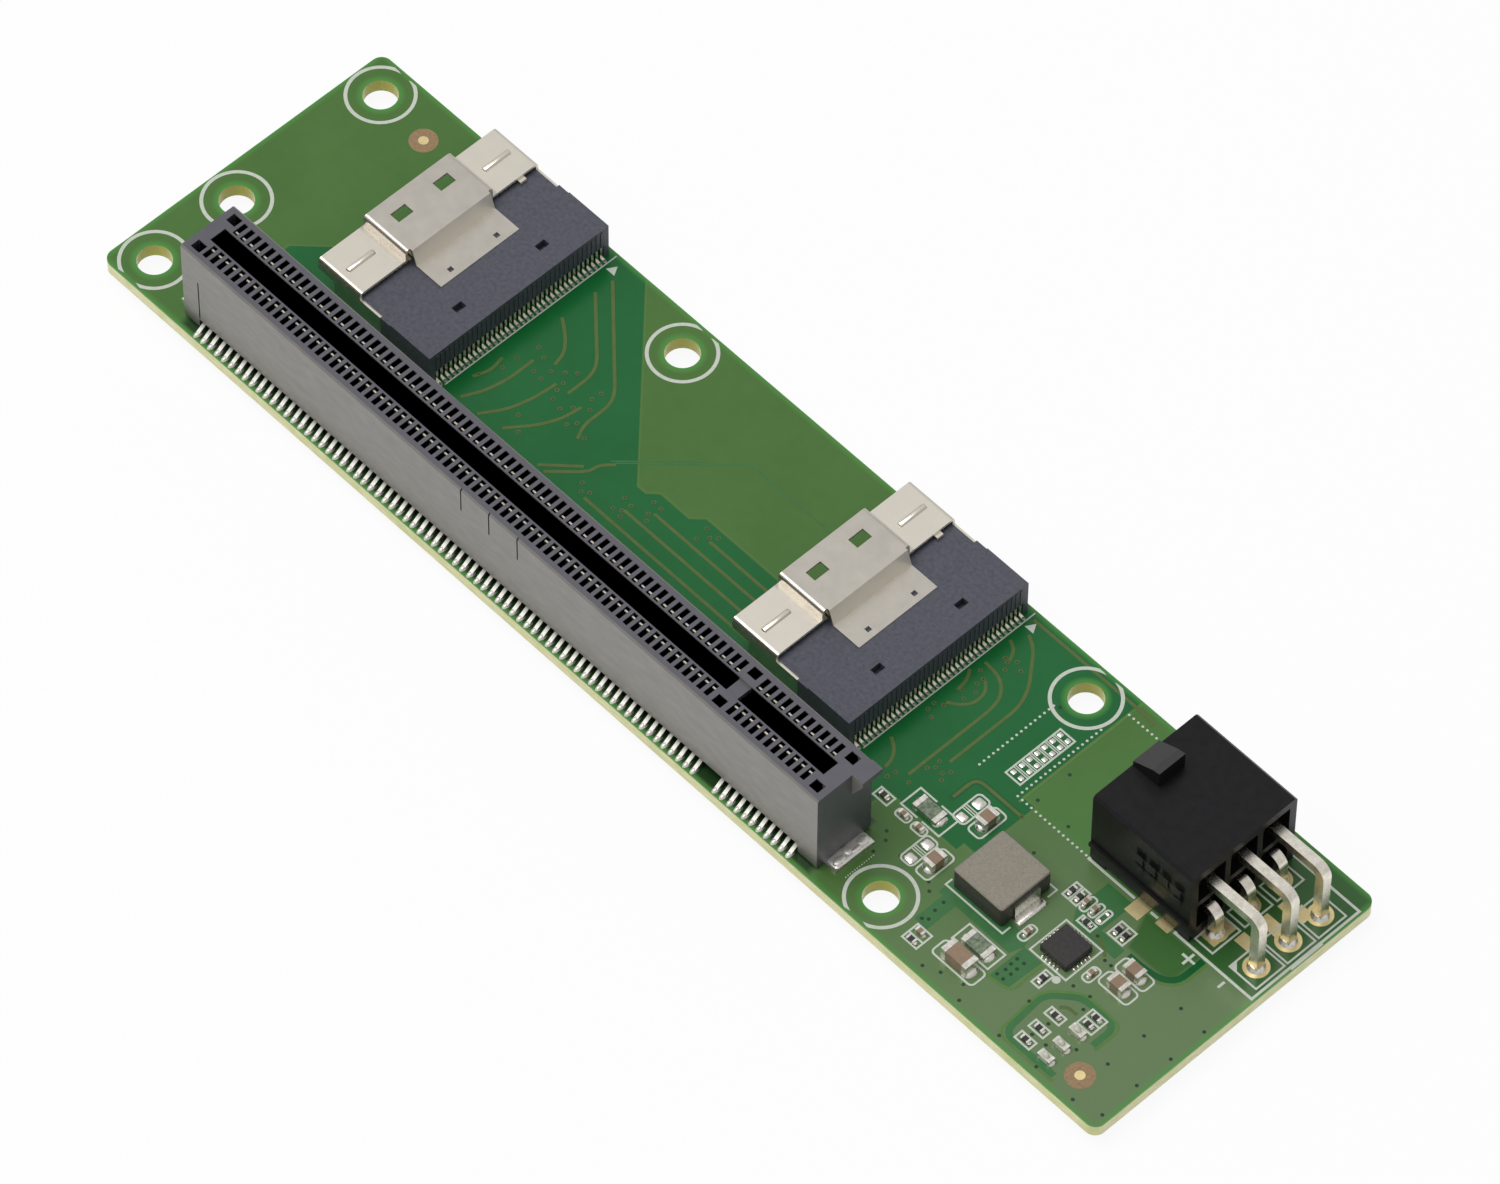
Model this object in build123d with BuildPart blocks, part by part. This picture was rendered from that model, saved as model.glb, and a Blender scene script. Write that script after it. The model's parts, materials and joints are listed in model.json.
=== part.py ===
"""PCI Express riser card: a x16 edge slot, two low-profile cable ports and a 12 V power header.

Millimetres, +Z up. The origin is below the centre of the board, level with the
ends of the power pins. X runs along the slot, Y across the board.

Places on the board are measured from one datum, as on a board drawing: the middle
of the slot's key, on the slot's centre line, with Z from the board's top face.
"""

from build123d import *
import os

os.makedirs("parts", exist_ok=True)

# Board
board_length = 137.65
board_width = 36.8
board_thickness = 1.6
board_corner_radius = 1.2
datum_from_middle = 16.045
datum_from_near_edge = 4.71
mounting_hole_diameter = 3.6
left_hole_inset = 3.77
middle_hole_x = -37.77
right_far_hole_x = 17.85
right_near_hole_x = 20.77
far_hole_inset = 3.64
left_middle_hole_y = 9.5
near_hole_y = -1.2

# Edge slot
slot_pitch = 1.0
slot_long_contacts = 71
slot_short_contacts = 11
slot_first_contact = 1.5
slot_width = 6.98
slot_height = 11.25
slot_belly_height = 1.5
slot_edge_chamfer = 0.2
card_gap_width = 1.94
card_gap_depth = 8.4
card_gap_margin = 1.1
key_thickness = 1.5
key_drop = 0.45
long_end_wall = 1.5
short_end_wall = 1.88
window_length = 0.58
window_inner = 1.15
window_outer = 2.75
core_hole_length = 1.2
core_hole_width = 1.1
core_hole_y = 2.27
core_hole_depth = 2.0
end_core_hole_inset = 1.35
end_block_clearance = 0.4
parting_slit_width = 0.16
parting_slit_depth = 0.25
parting_slit_drop = 3.35
parting_slits_x = (-34.35, -30.45, -26.5)
end_slit_inset = 2.3
end_slit_top = 7.4
end_slit_bottom = 1.7
hook_reach = 1.4
hook_lip = 0.65
hook_drop = 3.15
hook_inner = 0.9

# Slot contacts
contact_width = 0.42
contact_thickness = 0.18
contact_tip_y = 1.45
contact_tip_drop = 0.2
contact_toe_y = 4.487
contact_heel_y = 3.35
contact_knee_drop = 0.25
contact_wall_clearance = 0.02

# Slot hold-downs
hold_down_width = 5.05
hold_down_thickness = 0.3
hold_down_reach = 1.55
hold_down_leg_height = 3.2
hold_down_leg_inset = 0.9

# Cable ports
port_rear_x = (-51.47, 6.78)
port_y = 19.75
port_length = 10.18
port_width = 23.5
port_height = 4.45
port_step_length = 5.58
port_step_depth = 0.2
port_side_recess = 0.35
port_tongue_length = 2.4
port_tongue_width = 21.4
port_tongue_thickness = 1.0
port_tongue_height = 1.75
port_pit_length = 0.8
port_pit_width = 1.25
port_pit_depth = 1.0
port_pit_from_rear = 2.68
port_pit_spacing = 10.9
tail_channel_height = 1.8
tail_channel_length = 1.6
port_contacts = 37
port_contact_pitch = 0.6
port_contact_width = 0.3
port_tail_thickness = 0.15
port_tail_inset = 0.05
port_tail_reach = 0.52

# Cable port shells
sheet = 0.3
wing_height = 5.0
hood_height = 6.4
hood_width = 11.45
shell_bend = 0.45
mouth_from_rear = 15.99
wing_rear_from_rear = 9.98
hood_rear_from_rear = 9.65
hood_slope_run = 0.6
lid_width = 10.25
lid_end_from_rear = 5.58
lid_hole_size = 0.55
lid_hole_from_rear = 6.53
lid_hole_spacing = 6.04
hood_window_length = 1.3
hood_window_width = 1.92
hood_window_from_rear = 13.72
hood_window_spacing = 5.55
side_plate_front_from_rear = 13.73
side_plate_rear_from_rear = 7.03
side_plate_height = 4.1
flange_drop = 1.5
rib_length = 3.4
rib_width = 0.5
rib_rise = 0.12
rib_from_rear = 12.93
rib_y = 8.9
lug_length = 0.75
lug_width = 0.8
lug_thickness = 0.35
lug_reach = 0.45
lug_y = 9.35

# Power section: its parts keep their places from a datum of their own, so far from the right edge
power_datum_from_right_edge = 52.78

# Power header
header_mouth_x = 30.9
header_length = 13.06
header_width = 13.7
header_underside = 0.5
header_top = 10.1
header_edge_chamfer = 0.3
header_y = 22.94
header_pitch = 4.2
header_columns = 3
lower_row_height = 3.2
header_cell_size = 3.5
header_cell_depth = 10.6
header_cell_corner = 0.8
header_rear_recess = 1.3
header_ledge_height = 2.2
header_ledge_depth = 0.3
header_ledge_thickness = 0.5
header_foot_size = 2.0
latch_length = 3.4
latch_width = 3.4
latch_rise = 2.0
latch_toe_rise = 0.6
latch_crest = 0.9
latch_crest_drop = 0.2

# Power pins
pin_size = 1.07
pin_bend_radius = 1.5
pin_tip_inset = 3.0
upper_pin_x = 50.2
lower_pin_x = 44.8
pin_tail = 1.4
pin_hole_diameter = 1.8

# Inductor
inductor_x = 27.67
inductor_y = 7.76
inductor_size = 6.5
inductor_height = 2.8
inductor_chamfer = 0.15
inductor_corner = 0.4
terminal_width = 3.3
terminal_thickness = 0.2
terminal_rise = 1.8
terminal_foot = 1.4

# Controller chip
controller_x = 36.82
controller_y = 7.17
controller_size = 4.0
controller_height = 0.85
controller_standoff = 0.05
controller_pin_pitch = 0.5
controller_pins = 5
controller_pad_length = 0.4
controller_pad_width = 0.25
controller_centre_pad = 2.4

# Chip parts: length, width and height of each case size, and the length of its metal ends
resistor_length = 1.0
resistor_width = 0.5
resistor_height = 0.35
resistor_end = 0.22
small_capacitor_length = 1.0
small_capacitor_width = 0.5
small_capacitor_height = 0.5
small_capacitor_end = 0.25
medium_capacitor_length = 2.0
medium_capacitor_width = 1.25
medium_capacitor_height = 1.2
medium_capacitor_end = 0.45
large_capacitor_length = 3.3
large_capacitor_width = 1.67
large_capacitor_height = 1.5
large_capacitor_end = 0.6
fuse_length = 3.1
fuse_width = 1.55
fuse_height = 0.6
fuse_end = 0.55
led_length = 1.6
led_width = 0.8
led_height = 0.6
led_end = 0.3
end_cap_proud = 0.02

# Worked out from the sizes above
board_top = pin_tail + board_thickness
datum_x = datum_from_middle
datum_y = datum_from_near_edge - board_width / 2
left_edge = -board_length / 2 - datum_from_middle
right_edge = board_length / 2 - datum_from_middle
power_x = right_edge - power_datum_from_right_edge


def on_board(height=0.0, x=0.0):
    """A level plane at x from the datum, so high above the board's top face."""
    return Plane((datum_x + x, datum_y, board_top + height))


def across_board(x):
    """An upright plane across the board at x from the datum, with its y to the far edge."""
    return Plane((datum_x + x, datum_y, board_top), x_dir=(0, 1, 0), z_dir=(1, 0, 0))


def along_board(y):
    """An upright plane along the board at y from the datum, with its x along the slot."""
    return Plane((datum_x, datum_y + y, board_top), x_dir=(1, 0, 0), z_dir=(0, -1, 0))


# Board: one plate with its screw holes and the plated holes of the power pins
left_hole_x = left_edge + left_hole_inset
far_hole_y = board_width - datum_from_near_edge - far_hole_inset
upper_drop_x = power_x + upper_pin_x
lower_drop_x = power_x + lower_pin_x
mounting_holes = [
    (left_hole_x, far_hole_y),
    (left_hole_x, left_middle_hole_y),
    (left_hole_x, near_hole_y),
    (middle_hole_x, far_hole_y),
    (power_x + right_far_hole_x, far_hole_y),
    (power_x + right_near_hole_x, near_hole_y),
]
pin_rows_y = [header_y + (i - (header_columns - 1) / 2) * header_pitch for i in range(header_columns)]
pin_holes = [(x, y) for x in (upper_drop_x, lower_drop_x) for y in pin_rows_y]

with BuildPart() as board:
    with BuildSketch(Plane.XY.offset(pin_tail)):
        RectangleRounded(board_length, board_width, board_corner_radius)
    extrude(amount=board_thickness)
    with BuildSketch(on_board()):
        with Locations(*mounting_holes):
            Circle(mounting_hole_diameter / 2)
        with Locations(*pin_holes):
            Circle(pin_hole_diameter / 2)
    extrude(amount=-board_thickness, mode=Mode.SUBTRACT)
board.part.label = "board"
export_step(board.part, "parts/board.step")

# Slot housing: one long moulding with a card gap, a key and a cavity for each contact
contact_places = [-(slot_first_contact + i * slot_pitch) for i in range(slot_long_contacts)]
contact_places += [slot_first_contact + i * slot_pitch for i in range(slot_short_contacts)]
gap_left = min(contact_places) - card_gap_margin
gap_right = max(contact_places) + card_gap_margin
slot_left = gap_left - long_end_wall
slot_right = gap_right + short_end_wall
slot_middle = (slot_left + slot_right) / 2
half_slot = slot_width / 2
belly_left = min(contact_places) - end_block_clearance
belly_right = max(contact_places) + end_block_clearance
window_places = [(x, side * (window_outer + window_inner) / 2) for x in contact_places for side in (-1, 1)]
core_holes_x = (slot_left + end_core_hole_inset, 0, slot_right - end_core_hole_inset)
core_holes = [(x, side * core_hole_y) for x in core_holes_x for side in (-1, 1)]
leg_places = [(slot_left + hold_down_leg_inset, 0), (slot_right - hold_down_leg_inset, 0)]

with BuildPart() as slot_housing:
    with BuildSketch(on_board(hold_down_thickness)):
        with Locations((slot_middle, 0)):
            Rectangle(slot_right - slot_left, slot_width)
    extrude(amount=slot_height - hold_down_thickness)
    chamfer(slot_housing.edges().group_by(Axis.Z)[-1].filter_by(Axis.X), slot_edge_chamfer)
    with BuildSketch(on_board()):
        with Locations(((belly_left + belly_right) / 2, 0)):
            Rectangle(belly_right - belly_left, slot_width)
    extrude(amount=slot_belly_height, mode=Mode.SUBTRACT)
    with BuildSketch(on_board(slot_height)):
        with Locations(((gap_left + gap_right) / 2, 0)):
            Rectangle(gap_right - gap_left, card_gap_width)
    extrude(amount=-card_gap_depth, mode=Mode.SUBTRACT)
    with BuildSketch(on_board(slot_height - card_gap_depth)):
        Rectangle(key_thickness, card_gap_width)
    extrude(amount=card_gap_depth - key_drop)
    with BuildSketch(on_board()):
        with Locations(*window_places):
            Rectangle(window_length, window_outer - window_inner)
    extrude(amount=slot_height, mode=Mode.SUBTRACT)
    with BuildSketch(on_board(slot_height)):
        with Locations(*core_holes):
            Rectangle(core_hole_length, core_hole_width)
    extrude(amount=-core_hole_depth, mode=Mode.SUBTRACT)
    with BuildSketch(along_board(-half_slot)):
        with Locations(*[(x, slot_height) for x in parting_slits_x]):
            Rectangle(parting_slit_width, parting_slit_drop, align=(Align.CENTER, Align.MAX))
        with Locations((slot_left + end_slit_inset, (end_slit_top + end_slit_bottom) / 2)):
            Rectangle(parting_slit_width, end_slit_top - end_slit_bottom)
    extrude(amount=-parting_slit_depth, mode=Mode.SUBTRACT)
    with BuildSketch(along_board(half_slot)):
        with BuildLine():
            Polyline(
                (slot_right, slot_height - hook_drop),
                (slot_right + hook_reach, slot_height - hook_lip),
                (slot_right + hook_reach, slot_height),
                (slot_right, slot_height),
                close=True,
            )
        make_face()
    extrude(amount=half_slot - hook_inner)
    with BuildSketch(on_board()):
        with Locations(*leg_places):
            Rectangle(hold_down_thickness, hold_down_width)
    extrude(amount=hold_down_leg_height, mode=Mode.SUBTRACT)
slot_housing.part.label = "slot_housing"
export_step(slot_housing.part, "parts/slot_housing.step")

# Slot contacts: a spring strip in each cavity, with its tip in the window and its foot on the board
contact_planes = [across_board(x) for x in contact_places]
contact_tip_z = slot_height - contact_tip_drop
contact_knee_y = window_outer - contact_wall_clearance
contact_knee_z = slot_belly_height - contact_knee_drop
for row, side in (("near", -1), ("far", 1)):
    with BuildPart() as slot_contacts:
        with BuildSketch(*contact_planes):
            with BuildLine():
                Polyline(
                    (side * contact_tip_y, contact_tip_z),
                    (side * (contact_tip_y + contact_thickness), contact_tip_z),
                    (side * contact_knee_y, contact_knee_z),
                    (side * contact_toe_y, 0),
                    (side * contact_heel_y, 0),
                    (side * (contact_knee_y - contact_thickness), contact_knee_z - contact_thickness),
                    close=True,
                )
            make_face()
        extrude(amount=contact_width / 2, both=True)
    slot_contacts.part.label = f"slot_contacts_{row}"
    export_step(slot_contacts.part, f"parts/slot_contacts_{row}.step")

# Slot hold-downs: an angle at each end, its leg up in the housing and its foot soldered to the board
with BuildPart() as slot_hold_downs:
    with BuildSketch(along_board(0)):
        for end, (leg_x, _) in zip((-1, 1), leg_places):
            leg_face = leg_x - end * hold_down_thickness / 2
            foot_end = (slot_left, slot_right)[end > 0] + end * hold_down_reach
            with Locations((leg_x, 0)):
                Rectangle(hold_down_thickness, hold_down_leg_height, align=(Align.CENTER, Align.MIN))
            with Locations(((leg_face + foot_end) / 2, 0)):
                Rectangle(abs(foot_end - leg_face), hold_down_thickness, align=(Align.CENTER, Align.MIN))
    extrude(amount=hold_down_width / 2, both=True)
slot_hold_downs.part.label = "slot_hold_downs"
export_step(slot_hold_downs.part, "parts/slot_hold_downs.step")

# Cable ports: a moulded body, a folded sheet shell and a row of soldered tails for each
shell_half_width = port_width / 2 - port_side_recess + sheet
port_tail_row = port_contacts * port_contact_pitch
lid_top = port_height - port_step_depth + sheet
for number, rear_x in enumerate(port_rear_x, start=1):
    front_x = rear_x - port_length
    mouth_x = rear_x - mouth_from_rear
    wing_rear_x = rear_x - wing_rear_from_rear
    hood_rear_x = rear_x - hood_rear_from_rear
    plate_front_x = rear_x - side_plate_front_from_rear
    plate_rear_x = rear_x - side_plate_rear_from_rear

    with BuildPart() as port_housing:
        with BuildSketch(on_board()):
            with Locations((rear_x - port_length / 2, port_y)):
                Rectangle(port_length, port_width)
        extrude(amount=port_height)
        with BuildSketch(on_board(port_height)):
            with Locations((front_x, port_y)):
                Rectangle(port_length - port_step_length, port_width, align=(Align.MIN, Align.CENTER))
        extrude(amount=-port_step_depth, mode=Mode.SUBTRACT)
        with BuildSketch(on_board()):
            with Locations((front_x, port_y - port_width / 2), (front_x, port_y + port_width / 2)):
                Rectangle(plate_rear_x - front_x, 2 * port_side_recess, align=(Align.MIN, Align.CENTER))
        extrude(amount=port_height, mode=Mode.SUBTRACT)
        with BuildSketch(on_board()):
            with Locations((rear_x, port_y)):
                Rectangle(tail_channel_length, port_tail_row, align=(Align.MAX, Align.CENTER))
        extrude(amount=tail_channel_height, mode=Mode.SUBTRACT)
        with BuildSketch(on_board(port_height)):
            with Locations((rear_x - port_pit_from_rear, port_y)):
                with GridLocations(0, port_pit_spacing, 1, 2):
                    Rectangle(port_pit_length, port_pit_width)
        extrude(amount=-port_pit_depth, mode=Mode.SUBTRACT)
        with BuildSketch(on_board(port_tongue_height)):
            with Locations((front_x, port_y)):
                Rectangle(port_tongue_length, port_tongue_width, align=(Align.MAX, Align.CENTER))
        extrude(amount=port_tongue_thickness)
    port_housing.part.label = f"cable_port_{number}_housing"
    export_step(port_housing.part, f"parts/cable_port_{number}_housing.step")

    with BuildPart() as port_shell:
        with BuildSketch(across_board(mouth_x)):
            with BuildLine():
                Polyline(
                    (port_y - shell_half_width, 0),
                    (port_y - shell_half_width, wing_height),
                    (port_y - hood_width / 2, wing_height),
                    (port_y - hood_width / 2, hood_height),
                    (port_y + hood_width / 2, hood_height),
                    (port_y + hood_width / 2, wing_height),
                    (port_y + shell_half_width, wing_height),
                    (port_y + shell_half_width, 0),
                )
                offset(amount=sheet, side=Side.RIGHT, kind=Kind.INTERSECTION)
            make_face()
        extrude(amount=wing_rear_x - mouth_x)
        bends = port_shell.edges().filter_by(Axis.X).group_by(Axis.Z)
        wing_bends = port_shell.edges().filter_by(Axis.X).filter_by_position(
            Axis.Z, board_top + wing_height, board_top + wing_height).sort_by(Axis.Y)
        fillet([*bends[-1], wing_bends[0], wing_bends[-1]], shell_bend)
        with BuildSketch(on_board()):
            with Locations((mouth_x, port_y)):
                Rectangle(plate_front_x - mouth_x, 2 * shell_half_width, align=(Align.MIN, Align.CENTER))
        extrude(amount=wing_height - flange_drop, mode=Mode.SUBTRACT)
        with BuildSketch(along_board(port_y)):
            with BuildLine():
                Polyline(
                    (wing_rear_x, hood_height),
                    (hood_rear_x, hood_height),
                    (hood_rear_x + hood_slope_run, lid_top),
                    (rear_x - lid_end_from_rear, lid_top),
                )
                offset(amount=sheet, side=Side.RIGHT, kind=Kind.INTERSECTION)
            make_face()
        extrude(amount=lid_width / 2, both=True)
        with BuildSketch(on_board()):
            with Locations((wing_rear_x, port_y)):
                with GridLocations(0, 2 * shell_half_width - sheet, 1, 2):
                    Rectangle(plate_rear_x - wing_rear_x, sheet, align=(Align.MIN, Align.CENTER))
        extrude(amount=side_plate_height)
        with BuildSketch(on_board(hood_height)):
            with Locations((rear_x - hood_window_from_rear, port_y)):
                with GridLocations(0, hood_window_spacing, 1, 2):
                    Rectangle(hood_window_length, hood_window_width)
            with Locations((rear_x - lid_hole_from_rear, port_y)):
                with GridLocations(0, lid_hole_spacing, 1, 2):
                    Rectangle(lid_hole_size, lid_hole_size)
        extrude(amount=-(hood_height - lid_top + sheet), mode=Mode.SUBTRACT)
        with BuildSketch(on_board(wing_height)):
            with Locations((rear_x - rib_from_rear, port_y)):
                with GridLocations(0, 2 * rib_y, 1, 2):
                    Rectangle(rib_width, rib_length)
        extrude(amount=rib_rise)
        with BuildSketch(on_board(wing_height - sheet)):
            with Locations((wing_rear_x + lug_reach, port_y + lug_y)):
                Rectangle(lug_length, lug_width, align=(Align.MAX, Align.CENTER))
        extrude(amount=-lug_thickness)
    port_shell.part.label = f"cable_port_{number}_shell"
    export_step(port_shell.part, f"parts/cable_port_{number}_shell.step")

    riser_x = rear_x - port_tail_inset
    tail_planes = [along_board(port_y + (i - (port_contacts - 1) / 2) * port_contact_pitch)
                   for i in range(port_contacts)]
    with BuildPart() as port_contact_row:
        with BuildSketch(*tail_planes):
            with BuildLine():
                Polyline(
                    (riser_x - port_tail_thickness, tail_channel_height),
                    (riser_x, tail_channel_height),
                    (riser_x, port_tail_thickness),
                    (rear_x + port_tail_reach, 0),
                    (riser_x - port_tail_thickness, 0),
                    close=True,
                )
            make_face()
        extrude(amount=port_contact_width / 2, both=True)
    port_contact_row.part.label = f"cable_port_{number}_contacts"
    export_step(port_contact_row.part, f"parts/cable_port_{number}_contacts.step")

# Power header: a moulded shroud with a cell for each pin and a latch ramp over its mouth
header_front_x = power_x + header_mouth_x
header_rear_x = header_front_x + header_length
half_cell = header_cell_size / 2
header_middle = ((header_front_x + header_rear_x) / 2, header_y)
row_heights = (lower_row_height, lower_row_height + header_pitch)
cell_places = [(y, z) for z in row_heights for y in pin_rows_y]
keyed_cells = cell_places[::2]
plain_cells = cell_places[1::2]

with BuildPart() as power_header_housing:
    with BuildSketch(on_board(header_underside)):
        with Locations(header_middle):
            Rectangle(header_length, header_width)
    extrude(amount=header_top - header_underside)
    chamfer(power_header_housing.edges().group_by(Axis.Z)[-1].filter_by(Axis.X), header_edge_chamfer)
    with BuildSketch(on_board(header_ledge_height)):
        with Locations(header_middle):
            Rectangle(header_length, header_width + 2 * header_ledge_depth)
    extrude(amount=header_ledge_thickness)
    with BuildSketch(on_board()):
        with Locations(header_middle):
            with GridLocations(header_length - header_foot_size, header_width - header_foot_size, 2, 2):
                Rectangle(header_foot_size, header_foot_size)
    extrude(amount=header_underside)
    with BuildSketch(across_board(header_front_x)):
        with Locations(*plain_cells):
            Rectangle(header_cell_size, header_cell_size)
        with Locations(*keyed_cells):
            Polygon(
                (-half_cell, -half_cell),
                (half_cell, -half_cell),
                (half_cell, half_cell - header_cell_corner),
                (half_cell - header_cell_corner, half_cell),
                (header_cell_corner - half_cell, half_cell),
                (-half_cell, half_cell - header_cell_corner),
                align=None,
            )
    extrude(amount=header_cell_depth, mode=Mode.SUBTRACT)
    with BuildSketch(across_board(header_rear_x)):
        with Locations(*cell_places):
            Rectangle(header_cell_size, header_cell_size)
    extrude(amount=-header_rear_recess, mode=Mode.SUBTRACT)
    with BuildSketch(across_board(header_front_x)):
        with Locations(*cell_places):
            Rectangle(pin_size, pin_size)
    extrude(amount=header_length, mode=Mode.SUBTRACT)
    with BuildSketch(along_board(header_y)):
        with BuildLine():
            Polyline(
                (header_front_x, header_top),
                (header_front_x, header_top + latch_toe_rise),
                (header_front_x + latch_length - latch_crest, header_top + latch_rise - latch_crest_drop),
                (header_front_x + latch_length, header_top + latch_rise),
                (header_front_x + latch_length, header_top),
                close=True,
            )
        make_face()
    extrude(amount=latch_width / 2, both=True)
power_header_housing.part.label = "power_header_housing"
export_step(power_header_housing.part, "parts/power_header_housing.step")

# Power pins: square wires, bent down through the board behind the header
pin_planes = [along_board(y) for y in pin_rows_y]
half_pin = pin_size / 2
pin_rows = (("lower", row_heights[0], lower_drop_x), ("upper", row_heights[1], upper_drop_x))
for row, height, drop_x in pin_rows:
    with BuildPart() as power_pins:
        with BuildSketch(*pin_planes):
            with BuildLine():
                FilletPolyline(
                    (header_front_x + pin_tip_inset, height + half_pin),
                    (drop_x + half_pin, height + half_pin),
                    (drop_x + half_pin, -board_top),
                    radius=pin_bend_radius,
                )
                offset(amount=pin_size, side=Side.RIGHT, kind=Kind.INTERSECTION)
            make_face()
        extrude(amount=half_pin, both=True)
    power_pins.part.label = f"power_pins_{row}"
    export_step(power_pins.part, f"parts/power_pins_{row}.step")

# Inductor: a pressed block held on two folded terminals
with BuildPart() as inductor_core:
    with BuildSketch(on_board(terminal_thickness, power_x)) as inductor_outline:
        with Locations((inductor_x, inductor_y)):
            Rectangle(inductor_size, inductor_size)
        chamfer(inductor_outline.vertices(), inductor_corner)
    extrude(amount=inductor_height - terminal_thickness)
    chamfer(inductor_core.edges().group_by(Axis.Z)[-1], inductor_chamfer)
inductor_core.part.label = "inductor_core"
export_step(inductor_core.part, "parts/inductor_core.step")

with BuildPart() as inductor_terminals:
    with BuildSketch(along_board(inductor_y)):
        for side in (-1, 1):
            face_x = power_x + inductor_x + side * inductor_size / 2
            with Locations((face_x + side * terminal_thickness / 2, 0)):
                Rectangle(terminal_thickness, terminal_rise, align=(Align.CENTER, Align.MIN))
            with Locations((face_x + side * (terminal_thickness - terminal_foot) / 2, 0)):
                Rectangle(terminal_foot + terminal_thickness, terminal_thickness, align=(Align.CENTER, Align.MIN))
    extrude(amount=terminal_width / 2, both=True)
inductor_terminals.part.label = "inductor_terminals"
export_step(inductor_terminals.part, "parts/inductor_terminals.step")

# Controller chip: a flat moulded package on its edge pads and its centre pad
with BuildPart() as controller_chip:
    with BuildSketch(on_board(controller_standoff, power_x)):
        with Locations((controller_x, controller_y)):
            Rectangle(controller_size, controller_size)
    extrude(amount=controller_height - controller_standoff)
controller_chip.part.label = "controller_chip"
export_step(controller_chip.part, "parts/controller_chip.step")

with BuildPart() as controller_pads:
    with BuildSketch(on_board(x=power_x)):
        with Locations((controller_x, controller_y)):
            with PolarLocations((controller_size - controller_pad_length) / 2, 4):
                with GridLocations(0, controller_pin_pitch, 1, controller_pins):
                    Rectangle(controller_pad_length, controller_pad_width)
            Rectangle(controller_centre_pad, controller_centre_pad)
    extrude(amount=controller_standoff)
controller_pads.part.label = "controller_pads"
export_step(controller_pads.part, "parts/controller_pads.step")

# Chip parts: x, y and turn of each, from the datum; a turned one lies across the board
resistor_places = [
    (12.8, 6.83, 0), (26.2, -2.5, 0), (36.0, 10.7, 0), (44.15, 3.9, 0), (44.15, 2.85, 0),
    (41.35, 1.35, 0), (41.35, -0.7, 0), (41.35, -2.5, 0), (32.5, 12.2, 90), (33.5, 12.2, 90),
    (38.6, 12.2, 90), (39.55, 12.2, 90), (37.6, 3.35, 90),
]
small_capacitor_places = [
    (15.65, 6.65, 0), (17.75, 6.65, 0), (26.2, -1.35, 0), (34.4, 12.2, 90), (35.5, 12.2, 90),
    (33.0, 5.9, 90), (40.35, 7.0, 90),
]
medium_capacitor_places = [(21.6, 11.8, 90), (21.6, 4.95, 90), (43.15, 9.85, 0), (43.15, 7.75, 0)]
large_capacitor_places = [(31.0, -0.95, 0)]
fuse_places = [(17.05, 8.7, 0), (31.0, 1.5, 0)]
led_places = [(44.1, 1.5, 0), (44.1, -0.58, 0), (44.1, -2.55, 0)]

resistor = (resistor_length, resistor_width, resistor_height, resistor_end)
small_capacitor = (
    small_capacitor_length, small_capacitor_width, small_capacitor_height, small_capacitor_end)
medium_capacitor = (
    medium_capacitor_length, medium_capacitor_width, medium_capacitor_height, medium_capacitor_end)
large_capacitor = (
    large_capacitor_length, large_capacitor_width, large_capacitor_height, large_capacitor_end)
fuse = (fuse_length, fuse_width, fuse_height, fuse_end)
led = (led_length, led_width, led_height, led_end)

chip_groups = {
    "resistor": [(resistor, resistor_places)],
    "capacitor": [
        (small_capacitor, small_capacitor_places),
        (medium_capacitor, medium_capacitor_places),
        (large_capacitor, large_capacitor_places),
    ],
    "fuse": [(fuse, fuse_places)],
    "led": [(led, led_places)],
}
on_top = (Align.CENTER, Align.CENTER, Align.MIN)
power_section = on_board(x=power_x)
for group, cases in chip_groups.items():
    with BuildPart() as chip_bodies:
        for (length, width, height, end), places in cases:
            with Locations(*[power_section * Location((x, y, 0), (0, 0, turn)) for x, y, turn in places]):
                Box(length - 2 * end, width, height, align=on_top)
    chip_bodies.part.label = f"{group}_bodies"
    export_step(chip_bodies.part, f"parts/{group}_bodies.step")

    with BuildPart() as chip_ends:
        for (length, width, height, end), places in cases:
            with Locations(*[power_section * Location((x, y, 0), (0, 0, turn)) for x, y, turn in places]):
                with GridLocations(length - end, 0, 2, 1):
                    Box(end, width + 2 * end_cap_proud, height + end_cap_proud, align=on_top)
    chip_ends.part.label = f"{group}_ends"
    export_step(chip_ends.part, f"parts/{group}_ends.step")
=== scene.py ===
"""Looks of a riser card with an edge slot and two cable ports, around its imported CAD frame. Metres, +Z up."""

from __future__ import annotations

import json
import logging
import math
from collections.abc import Iterator
from contextlib import contextmanager
from dataclasses import dataclass, field
from enum import Enum
from functools import reduce

import bpy
from mathutils import Matrix, Vector

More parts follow.
